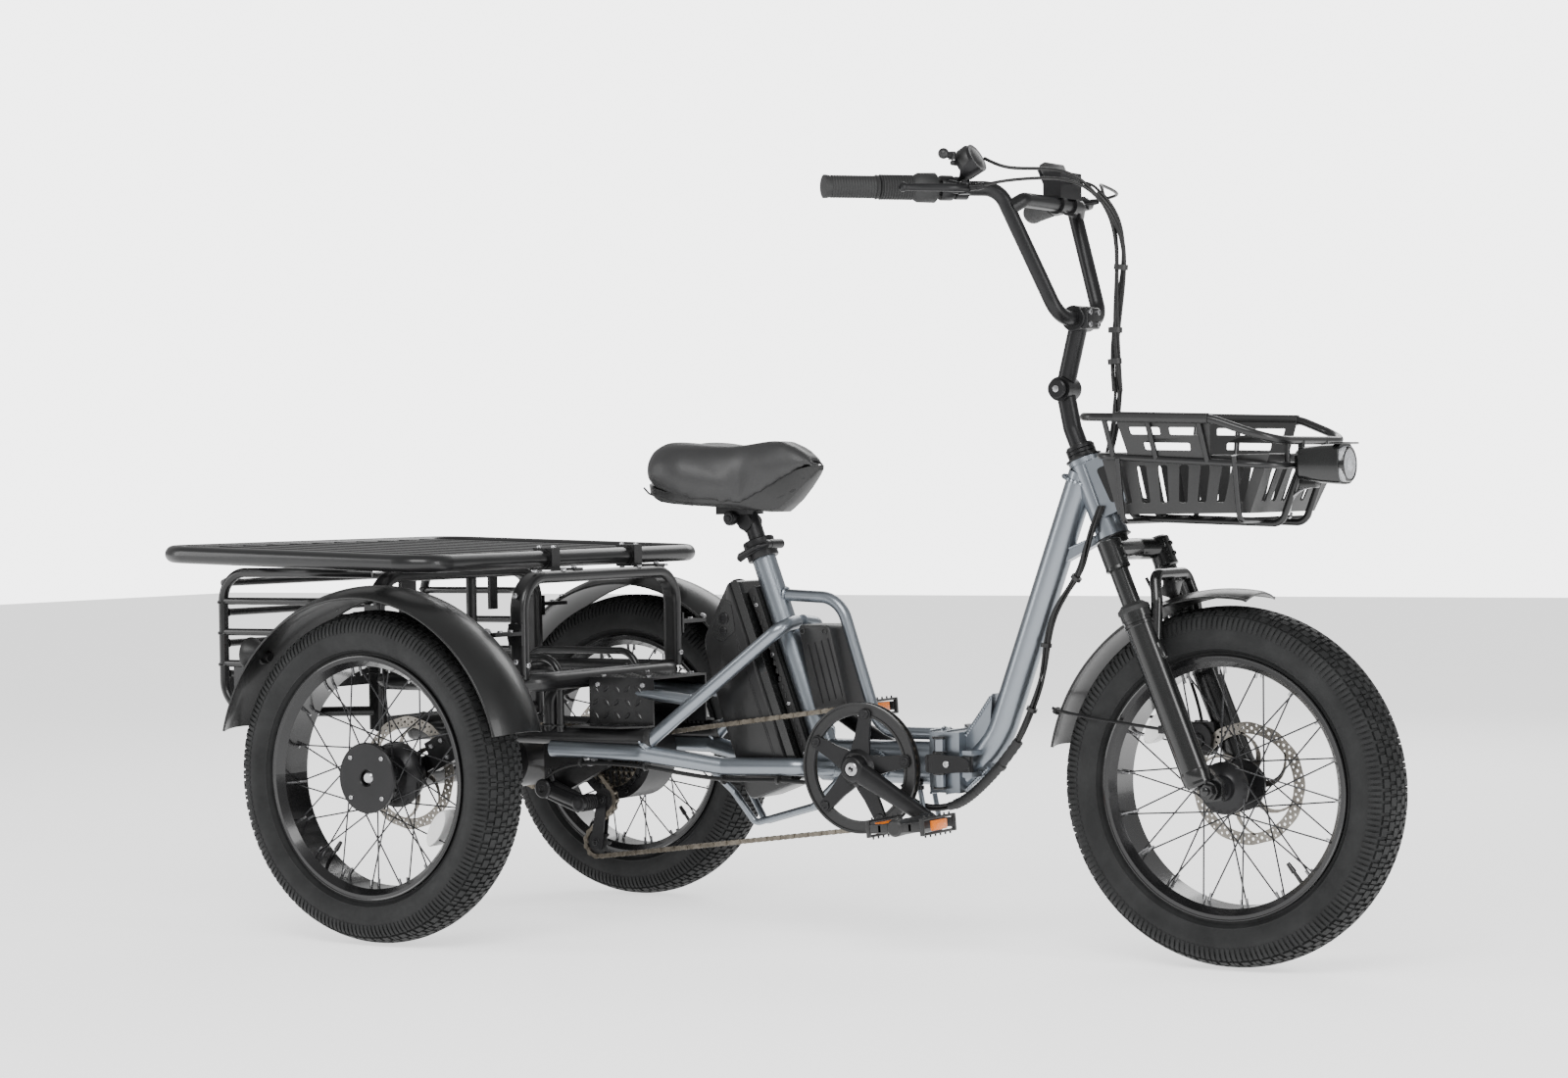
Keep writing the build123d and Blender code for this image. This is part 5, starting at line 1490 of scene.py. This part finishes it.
# ---------------------------------------------------------------- steering and fork
def build_steering():
    headset = Shape()
    for s, sign in ((64, 1), (-64, -1)):
        headset.disc(fork_at(s, 0), FORK_DOWN * sign,
                     [(-3, 24.0), (-2, 26.5), (0, 27.5), (0.4, 27.5), (0.4, 20)], 48)
    inset = Shape()
    corners = [fork_at(-36, 24), fork_at(-36, 44), fork_at(20, 46), fork_at(20, 28)]
    inset.plate(rounded([(p[0], p[2]) for p in corners][::-1], 6), [], -24.8, -23.0)
    inset.mirror()
    inset.make("head_box_inset", GLOSS, "front_frame", 0.5)
    headset.make("headset_cups", ANODISED, "front_frame")
    top = Shape()
    for s in (-67, -73, -79):
        top.disc(fork_at(s, 0), FORK_DOWN, [(-2.6, 14.5), (-2.6, 21.4), (-2.1, 22), (2.1, 22),
                                       (2.6, 21.4), (2.6, 14.5)], 40)
    top.disc((1036, -24, 842), (0, -1, 0), [(-3, 12), (0, 14.5), (3, 14.5), (4.5, 12.5),
                                            (4.5, 5.5), (2, 5)], 36)
    top.hexagon((1036, -25.5, 842), (0, -1, 0), 5.0, 2.0)
    top.disc((1036, 23, 842), (0, 1, 0), [(-2, 9), (2, 9), (3, 7)], 24)
    top.make("stem_spacers", ANODISED, "steerer")
    plate = Shape()
    plate.block((1074, -21, 929), (1086, 21, 961), bevel=3.0)
    plate.disc((1063, -22, 945), (0, -1, 0), [(-2, 19.2), (0.6, 19.2), (1.8, 17.6), (1.8, 12)], 40)
    plate.disc((1063, 22, 945), (0, 1, 0), [(-2, 19.2), (0.6, 19.2), (1.8, 17.6), (1.8, 12)], 40)
    plate.make("bar_clamp_plate", ANODISED, "bars", 0.8)
    screws = Shape()
    for y in (-13, 13):
        for z in (936, 954):
            screws.bolt((1086, y, z), (1, 0, 0), 4.2, 3.0)
    screws.disc((1036, -28.5, 842), (0, -1, 0), [(0, 5.2), (1.0, 5.0), (1.4, 3.0)], 24)
    screws.make("bar_clamp_bolts", STEEL, "bars")
    crown = Shape()
    for y in (-LEG_Y, LEG_Y):
        crown.disc(fork_at(80, LEG_N, y), -FORK_DOWN,
                   [(-2, 18), (0.6, 17.6), (1.8, 16.4), (2.6, 13), (3.4, 13), (4.4, 11.5),
                    (5, 9)], 40)
        crown.disc(fork_at(122, LEG_N, y), FORK_DOWN,
                   [(-4, 18.4), (0, 18.8), (2, 16), (2, 14.2)], 40)
        for s in (92, 108):
            crown.bolt(fork_at(s, 46, y * 1.02), FORK_FWD,
                       3.6, 2.6)
    crown.make("crown_caps", GLOSS, "steerer")
    seals = Shape()
    for y in (-LEG_Y, LEG_Y):
        seals.disc(fork_at(181, LEG_N, y), FORK_DOWN,
                   [(-5, 14.3), (-5, 16.6), (-2, 19.5), (1, 23.6), (6, 24.2), (8, 23)], 44)
    seals.make("fork_seals", GRIP_MAT, "fork", slot="black_plastic")
    detail = Shape()
    for y in (-LEG_Y, LEG_Y):
        side = 1 if y > 0 else -1
        detail.disc(fork_at(205, LEG_N, y), FORK_DOWN,
                    [(0, 21.2), (1, 22.4), (5, 22.4), (6, 21.2)], 44)
        detail.disc(fork_at(440, LEG_N, y), FORK_DOWN, [(-8, 21.3), (-3, 22), (8, 21.2), (16, 17),
                                                (18, 9), (20, 9)], 40)
        seam_bead(detail, fork_at(250, 49.2, y), fork_at(425, 49.2, y), 0.9)
        lug = [fork_at(238, 34, y), fork_at(246, 44, y * 0.985), fork_at(262, 44, y * 0.99),
               fork_at(268, 34, y)]
        detail.sweep(lug, 9.5, 12)
        detail.hexagon((WHEELBASE, side * 84, WHEEL_R), (0, side, 0), 11.5, 8)
        detail.disc((WHEELBASE, side * 83, WHEEL_R), (0, side, 0), [(-1, 14), (1.4, 14)], 28)
        detail.disc((WHEELBASE, side * 90, WHEEL_R), (0, side, 0), [(0, 6), (6, 6), (7, 4.5)], 18)
    detail.make("fork_leg_trim", GLOSS, "fork", 0.0)
    caliper = Shape()
    outline = rounded([(1200, 298), (1242, 302), (1248, 330), (1234, 348), (1206, 344)][::-1], 8)
    for y0, y1 in ((40, 47.2), (52.8, 68)):
        caliper.plate(outline, [], y0, y1)
    caliper.plate(rounded([(1196, 330), (1250, 334), (1248, 350), (1200, 348)][::-1], 4), [],
                  46, 56)
    for x, z in ((1212, 308), (1236, 338)):
        caliper.bolt((x, 68, z), (0, 1, 0), 4.2, 3.4)
    caliper.disc((1224, 68, 322), (0, 1, 0), [(-1, 14), (3, 13.4), (5, 10), (5, 4), (3, 3.6)], 32)
    caliper.disc((1224, 40, 322), (0, -1, 0), [(-1, 12), (3, 11), (4, 6)], 28)
    caliper.make("front_caliper", ANODISED, "fork", 0.8)
    hose = spline_points([(1222, 62, 346), (1216, 66, 372), (1196, 70, 420), (1172, 72, 478),
                          (1150, 74, 520), (1132, 66, 560)], 48)
    line = Shape()
    line.sweep(hose, 2.5, 10)
    for i in (14, 30):
        line.disc(hose[i], hose[i + 1] - hose[i], [(-4, 2.4), (-4, 4.2), (4, 4.2), (4, 2.4)], 14)
    line.make("front_brake_line", CABLE, "fork")


# ---------------------------------------------------------------- mudguards and lamps
def arc_edge(shape, centre, r, y, a0, a1, size, count=90):
    pts = []
    for i in range(count + 1):
        a = radians(a0 + (a1 - a0) * i / count)
        pts.append((centre[0] + r * cos(a), y, centre[1] + r * sin(a)))
    shape.sweep(pts, size, 8)


GUARD_SEG = 72


def guard_sheet(shape, centre, r_mid, r_edge, half_w, y_mid, a0, a1):
    # arched sheet with a flat-bottomed rolled lip on both edges
    sag = r_mid - r_edge
    radius = (half_w * half_w + sag * sag) / (2 * sag)
    top, under = [], []
    for i in range(17):
        y = -half_w + 2 * half_w * i / 16
        h = r_mid - radius + math.sqrt(radius * radius - y * y)
        top.append((y, h))
        under.append((y, h - 3.0))
    loop = [(-half_w, r_edge - 3.2)] + top + [(half_w, r_edge - 3.2)] + under[::-1]
    rings = []
    for k in range(GUARD_SEG + 1):
        a = radians(a0 + (a1 - a0) * k / GUARD_SEG)
        grow = -1.2 if k in (0, GUARD_SEG) else 0.0
        rings.append([(centre[0] + (h + grow) * cos(a), y_mid + y, centre[1] + (h + grow) * sin(a))
                      for y, h in loop])
    shape.grid(rings)


def build_guards():
    # rear guards run from 14 to 165 degrees measured from the back, so 15 to 166 from the front
    for side, tag in ((-1, "right"), (1, "left")):
        guard = Shape()
        centre = (0.0, WHEEL_R)
        guard_sheet(guard, centre, 300, 283, 60, side * TRACK_HALF, 15, 166)
        for y in (-59.2, 59.2):
            arc_edge(guard, centre, 281.8, side * TRACK_HALF + y, 15, 166, 1.9)
        guard.make(f"rear_guard_{tag}", GUARD, "rear_frame", 0.0,
                   ("rear_fenders",) if side < 0 else (), 50.0)
    front = Shape()
    centre = (WHEELBASE, WHEEL_R)
    guard_sheet(front, centre, 286, 276, 49, 0.0, 80, 169)
    for y in (-48.4, 48.4):
        arc_edge(front, centre, 274.8, y, 80, 169, 1.8, 60)
    front.make("front_guard", GUARD, "fork", 0.0, ("front_fender",), 50.0)
    clip = Shape()
    clip.block((1196, -12, 534), (1216, 12, 560), Matrix.Rotation(radians(14), 3, "Y"), 2.0)
    clip.bolt((1207, 0, 561), (0.2, 0, 1), 4.6, 3.4)
    clip.make("front_guard_bracket", BLACK, "fork", slot="black_metal")
    stays = Shape()
    for side in SIDES:
        stays.sweep(spline_points([(1036, side * 54.5, 372), (1060, side * 55, 362),
                                   (1140, side * 57, 354), (1222, side * 59.5, 345)], 40), 2.4, 10)
        stays.disc((1040, side * 45, 367), (0, side, 0), [(-1, 6), (2, 6), (2, 4), (10, 4),
                                                          (12, 3)], 18)
        stays.block((1212, side * 59.5 - 4, 339), (1232, side * 59.5 + 4, 351), bevel=1.6)
    stays.make("front_guard_stays", ANODISED, "fork")
    bolts = Shape()
    for side in SIDES:
        for x, z in ((173, 484), (-120, 512)):
            for y in (234, 262):
                bolts.bolt((x, side * y, z), (0, 0, 1), 4.4, 3.0)
            for dz in (-10, 10):
                bolts.bolt((x, side * HOOP_Y, z + dz), (0, -side, 0), 3.8, 3.0)
        a_front = math.atan2(484 - WHEEL_R, 173)
        for ang in (a_front, math.atan2(512 - WHEEL_R, -120)):
            out = Vector((cos(ang), 0, sin(ang)))
            head = Vector((0, side * 296, WHEEL_R)) + out * 287
            bolts.disc(head, out, [(-1, 6.2), (1.2, 6.0), (3.0, 3.6), (3.4, 1.4)], 20)
    bolts.make("guard_bolts", STEEL, "rear_frame")


def build_tail_lamps():
    housing, red, glow = Shape(), Shape(), Shape()
    for side in SIDES:
        c = (-238, side * TRACK_HALF, 449)
        housing.disc(c, (-1, 0, 0), [(-4, 15), (2, 15.5), (8, 18), (20, 24), (24, 27.5),
                                     (28.5, 28), (28.5, 24)], 48)
        housing.rod((-224, side * TRACK_HALF, 445), (-238, side * TRACK_HALF, 449), 8, 9)
        red.disc((-263, side * TRACK_HALF, 449), (-1, 0, 0), [(-2, 25.6), (2.0, 25.8), (4.6, 24),
                                                              (6.4, 18), (6.8, 8)], 48)
        for i in range(6):
            a = 2 * pi * i / 6
            glow.disc((-261, side * TRACK_HALF + 13 * cos(a), 449 + 13 * sin(a)), (-1, 0, 0),
                      [(0, 3), (3.0, 3), (4, 1.6)], 12)
    housing.make("tail_lamp_housings", PLASTIC, "rear_frame", 0.5,
                 ("tail_lamps",))
    red.make("tail_lamp_lenses", RED, "rear_frame")
    glow.make("tail_lamp_diodes", WHITE_TRIM, "rear_frame")


# ---------------------------------------------------------------- drive details
def build_drive_details():
    cover = Shape()
    hx, hz = HUB
    for y, side in ((-27, -1), (46, 1)):
        for i in range(8):
            a = radians(22.5 + 45 * i)
            cover.bolt((hx + 64 * cos(a), y, hz + 64 * sin(a)), (0, side, 0), 3.4, 2.4)
    cover.disc((hx, -27, hz), (0, -1, 0), [(-0.5, 58), (2, 57), (4.4, 50), (4.8, 22), (3, 20)], 72)
    cover.disc((hx, 46, hz), (0, 1, 0), [(-0.5, 58), (3, 57), (4.6, 46), (5, 22), (3, 20)], 72)
    cover.make("motor_cover", ANODISED, "motor")
    cassette = Shape()
    for i, teeth in enumerate(COGS):
        y = CHAIN_Y + COG_STEP * i
        r = pitch_r(teeth)
        cassette.disc((hx, y - 1.4, hz), (0, 1, 0), [(0, r - 6.5), (0, r - 3.6), (2.6, r - 3.6),
                                                     (2.6, r - 6.5)], 48)
    cassette.disc((hx, CHAIN_Y - 5, hz), (0, 1, 0),
                  [(-1.2, 9), (-1.2, 14), (2, 15.4), (3, 12)], 36)
    cassette.make("cassette_faces", CHAIN_METAL, "motor")
    mech = Shape()
    mech.disc((136, -110, 226), (0, -1, 0), [(-2, 15.4), (1, 15.4), (3, 13), (3, 6), (1, 5)], 32)
    mech.rod((140, -98, 238), (202, -98, 216), 5.0, 4.2, 14)
    mech.rod((136, -98, 214), (198, -98, 192), 5.0, 4.2, 14)
    mech.disc((206, -108, 204), (0, -1, 0), [(-2, 12.4), (2, 12.4), (4, 9), (4, 4)], 30)
    for k in range(5):
        mech.disc((206, -100 + k * 6, 204), (0, 1, 0), [(-1.2, 12.4), (-0.8, 13.6), (0.8, 13.6),
                                                        (1.2, 12.4)], 28)
    for c, r in (((222, 207), 5.0), ((208, 138), 5.0)):
        mech.bolt((c[0], CHAIN_Y - 6.5, c[1]), (0, -1, 0), r, 3.0)
        mech.disc((c[0], CHAIN_Y - 6.6, c[1]), (0, -1, 0), [(-0.3, 7.5), (0.9, 7.5)], 20)
    mech.disc((150, -104, 246), (-0.2, -0.1, 1), [(-8, 4.4), (4, 4.4), (10, 3.2), (13, 2.6)], 16)
    mech.make("derailleur_detail", ANODISED, "rear_frame", 0.4)
    stand = Shape()
    for y in (-20, 20):
        for z in (243, 250):
            stand.disc((786 + (250 - z) * 0.2, y, z), (0, 0, 1),
                       [(-3, 4.4), (-3, 6.2), (3, 6.2), (3, 4.4)], 16)
    stand.make("stand_collars", BLACK, "rear_frame", slot="black_metal")
    nuts = Shape()
    for side in SIDES:
        nuts.hexagon((hx, side * 92, hz), (0, side, 0), 12, 7)
        nuts.disc((hx, side * 91.6, hz), (0, side, 0), [(-0.6, 15), (1.2, 15)], 28)
        nuts.disc((hx, side * 98, hz), (0, side, 0), [(0, 7), (5, 7), (6.5, 5)], 20)
    nuts.make("motor_axle_nuts", STEEL, "rear_frame")


# ---------------------------------------------------------------- cargo frame details
def diamond(shape, c, u, v, n, size, height):
    # raised checker mark, long along u
    c, u, v, n = Vector(c), Vector(u), Vector(v), Vector(n)
    ring = [(-1.0, 0.0), (-0.35, -0.32), (0.35, -0.32), (1.0, 0.0), (0.35, 0.32), (-0.35, 0.32)]
    low = [c + (u * a + v * b) * size for a, b in ring]
    high = [c + (u * a * 0.72 + v * b * 0.6) * size + n * height for a, b in ring]
    shape.grid([low, high])


def checker(shape, origin, u, v, n, du, dv, step, size):
    u, v = Vector(u), Vector(v)
    rows, cols = int(dv / step), int(du / step)
    for i in range(cols):
        for j in range(rows):
            c = Vector(origin) + u * (i + 0.5) * step + v * (j + 0.5) * step
            d1 = (u + v).normalized() if (i + j) % 2 else (u - v).normalized()
            d2 = Vector(n).cross(d1)
            diamond(shape, c, d1, d2, n, size, 1.0)


def build_cargo_details():
    marks = Shape()
    checker(marks, (208, -74, 405), (1, 0, 0), (0, 1, 0), (0, 0, 1), 122, 148, 21.0, 8.5)
    for side in SIDES:
        checker(marks, (208, side * 75, 334), (1, 0, 0), (0, 0, 1), (0, side, 0), 122, 68, 21.0,
                8.5)
        checker(marks, (208, side * 78 if side > 0 else -96, 330.2), (1, 0, 0), (0, 1, 0),
                (0, 0, 1), 110, 18, 12.2, 5.6)
    marks.make("step_checker", BLACK, "rear_frame")
    teeth = Shape()
    for side in SIDES:
        for i in range(14):
            x = 212 + i * 8.4
            teeth.block((x, side * 73.5 - 1.4, 323), (x + 4.6, side * 73.5 + 1.4, 331), bevel=0.6)
    teeth.make("step_teeth", BLACK, "rear_frame")
    caps = Shape()
    for side in SIDES:
        for x, d in ((341, 1), (-140, -1)):
            caps.disc((x, side * TUBE_Y, 312), (d, 0, 0),
                      [(-6, 15.2), (-1, 15.8), (3, 15), (4.5, 11), (5, 4)], 36)
    caps.make("tube_caps", PLASTIC, "rear_frame")
    bolts = Shape()
    for side in SIDES:
        for x in (HOOP_FRONT, HOOP_REAR):
            for z in (436, 540):
                bolts.bolt((x, side * (HOOP_Y + 0.6), z), (0, side, 0), 4.6, 3.6)
            bolts.bolt((x + (15 if x > 0 else -15), side * 210, 430), (1 if x > 0 else -1, 0, 0),
                       4.4, 3.4)
        for y in (104, 180):
            bolts.bolt((HOOP_FRONT + 9.0, side * y, 567 + 9.6), (0, 0, 1), 4.2, 3.0)
        bolts.hexagon((0, side * 81, 283), (0, side, 0), 7, 4)
        bolts.hexagon((0, side * 109, 283), (0, side, 0), 8, 5)
        for x in (224, 312):
            bolts.bolt((x, side * 75.4, 393), (0, side, 0), 4.2, 3.0)
            bolts.bolt((x, side * 60, 405.2), (0, 0, 1), 4.2, 3.0)
    for y in PLAT_FOOT_Y:
        for dx in (-14.5, 14.5):
            bolts.bolt((PLAT_FRONT + dx, y, 612), (0, 0, 1), 4.2, 4.0)
            bolts.hexagon((PLAT_FRONT + dx, y, 576.4), (0, 0, -1), 4.6, 3.4)
        bolts.bolt((HOOP_FRONT, y, 580), (0, 0, 1), 4.6, 3.4)
    for y in (-150, 150):
        bolts.bolt((HOOP_REAR, y, 588.4), (0, 0, 1), 4.4, 3.2)
    bolts.make("cargo_bolts", STEEL, "rear_frame")
    clamps = Shape()
    for y in PLAT_FOOT_Y:
        for dy in (-11.5, 11.5):
            clamps.disc((PLAT_FRONT, y + dy, PLAT_Z), (0, 1, 0), [(-2.2, 14.1), (-2.2, 17.2),
                                                                  (2.2, 17.2), (2.2, 14.1)], 36)
    clamps.make("platform_clamps", BLACK, "rear_frame")
    face = Shape()
    face.plate([(-145, 500), (-108, 500), (-108, 569), (-145, 569)],
               [circle(-126.5, z, 5.2, 18) for z in (512, 530, 548)], 0, 3.0)
    for v in face.bm.verts:
        v.co = Vector((HOOP_REAR - 4.2 - v.co.y, v.co.x, v.co.z))
    face.make("hoop_strap", BLACK, "rear_frame", 0.4)
    knuckles = Shape()
    for z in (531, 480, 428):
        for side in SIDES:
            bead(knuckles, (-404, side * 262, z), (0, side * 0.4, 1), 8.6, 1.0, 2.0)
    for z in (561, 512, 461, 410):
        for side in SIDES:
            bead(knuckles, (-404, side * 254, z), (0, 1, 0), 6.8, 1.0, 1.8)
    knuckles.make("guard_welds", BLACK, "rear_frame")


# ---------------------------------------------------------------- hinge, clamp and calipers
def build_hinge_details():
    band = Shape()
    outline = rounded([(822, 271), (822, 297), (834, 299), (884, 296), (896, 290), (896, 278),
                       (884, 272), (834, 269)][::-1], 3.5)
    band.plate(outline, [], -62.5, -56.5)
    band.rod((830, -59.5, 272), (830, -59.5, 296), 5.0, seg=18)
    band.rod((888, -52, 272), (888, -52, 296), 8.6, seg=24)
    band.disc((888, -46, 296), (0, 0, 1), [(-1, 7.5), (0.6, 7.5), (0.6, 4.0)], 24)
    band.make("latch_band", ANODISED, "latch", 0.8)
    rivet = Shape()
    rivet.bolt((858, -62.4, 284), (0, -1, 0), 5.0, 2.6)
    rivet.make("latch_rivet", STEEL, "latch")
    ribs = Shape()
    for z in (246, 268, 300, 322):
        ribs.disc((837, -45, z), (0, 0, 1), [(-2, 9.6), (-1, 10.6), (1, 10.6), (2, 9.6)], 28)
    ribs.make("catch_rings", BLACK, "rear_frame", slot="black_metal")
    pin = Shape()
    for z, d in ((335, 1), (233, -1)):
        pin.disc((840, 42, z), (0, 0, d),
                 [(-0.5, 8.4), (1.2, 8.4), (2.4, 6.4), (2.4, 3), (1, 2.8)], 24)
    pin.make("pin_heads", STEEL, "rear_frame")
    clamp = Shape()
    clamp.disc(seat_at(-22, 0), SEAT_DIR,
               [(-1, 19.2), (-1, 24.2), (0.5, 25.2), (29, 25.2), (30.6, 24.0), (30.6, 15.0)], 56)
    clamp.rod(seat_at(-8, -26, -14), seat_at(-8, -26, 20), 7.6, seg=24)
    clamp.bolt(seat_at(-8, -26, 20), (0, 1, 0), 5.0, 3.0)
    clamp.make("clamp_rings", ANODISED, "rear_frame", 0.5)
    quick = Shape()
    path = spline_points([seat_at(-8, -26, -20), seat_at(-8, -14, -33), seat_at(-10, 6, -33),
                          seat_at(-13, 26, -31)], 30)
    rings = []
    for i, p in enumerate(path):
        t = i / (len(path) - 1)
        a, b = path[max(0, i - 1)], path[min(len(path) - 1, i + 1)]
        d = (b - a).normalized()
        side = d.cross(SEAT_DIR).normalized()
        w, h = 3.4, 4.4 + 3.0 * t - (3.4 if t > 0.97 else 0.0)
        rings.append([p + side * cos(q) * w + SEAT_DIR * sin(q) * h
                      for q in turns(12)])
    quick.grid(rings)
    quick.make("quick_release_blade", ANODISED, "seat_lever")
    calipers = Shape()
    turn = Matrix.Rotation(radians(-26), 3, "Y")
    for side in SIDES:
        for y, way in ((263.6, -1), (297.6, 1)):
            for r, dz in ((74, 14), (96, -14), (96, 14)):
                p = turn @ Vector((r, 0, dz))
                calipers.bolt((p.x, side * y, p.z + WHEEL_R), (0, side * way, 0), 4.0, 2.8)
        p = turn @ Vector((86, 0, 0))
        calipers.disc((p.x, side * 263.6, p.z + WHEEL_R), (0, -side, 0),
                      [(-1, 13), (2.6, 12.4), (4.4, 9), (4.4, 4)], 32)
        arm = turn @ Vector((104, 0, 18))
        calipers.rod((p.x, side * 258, p.z + WHEEL_R),
                     (arm.x, side * 256, arm.z + WHEEL_R + 8), 4.5, 3.4, 14)
    calipers.make("caliper_bolts", STEEL, "rear_frame")


build_welds()
build_steering()
build_guards()
build_tail_lamps()
build_drive_details()
build_cargo_details()
build_hinge_details()

dress_frame()
make_camera()
make_studio()
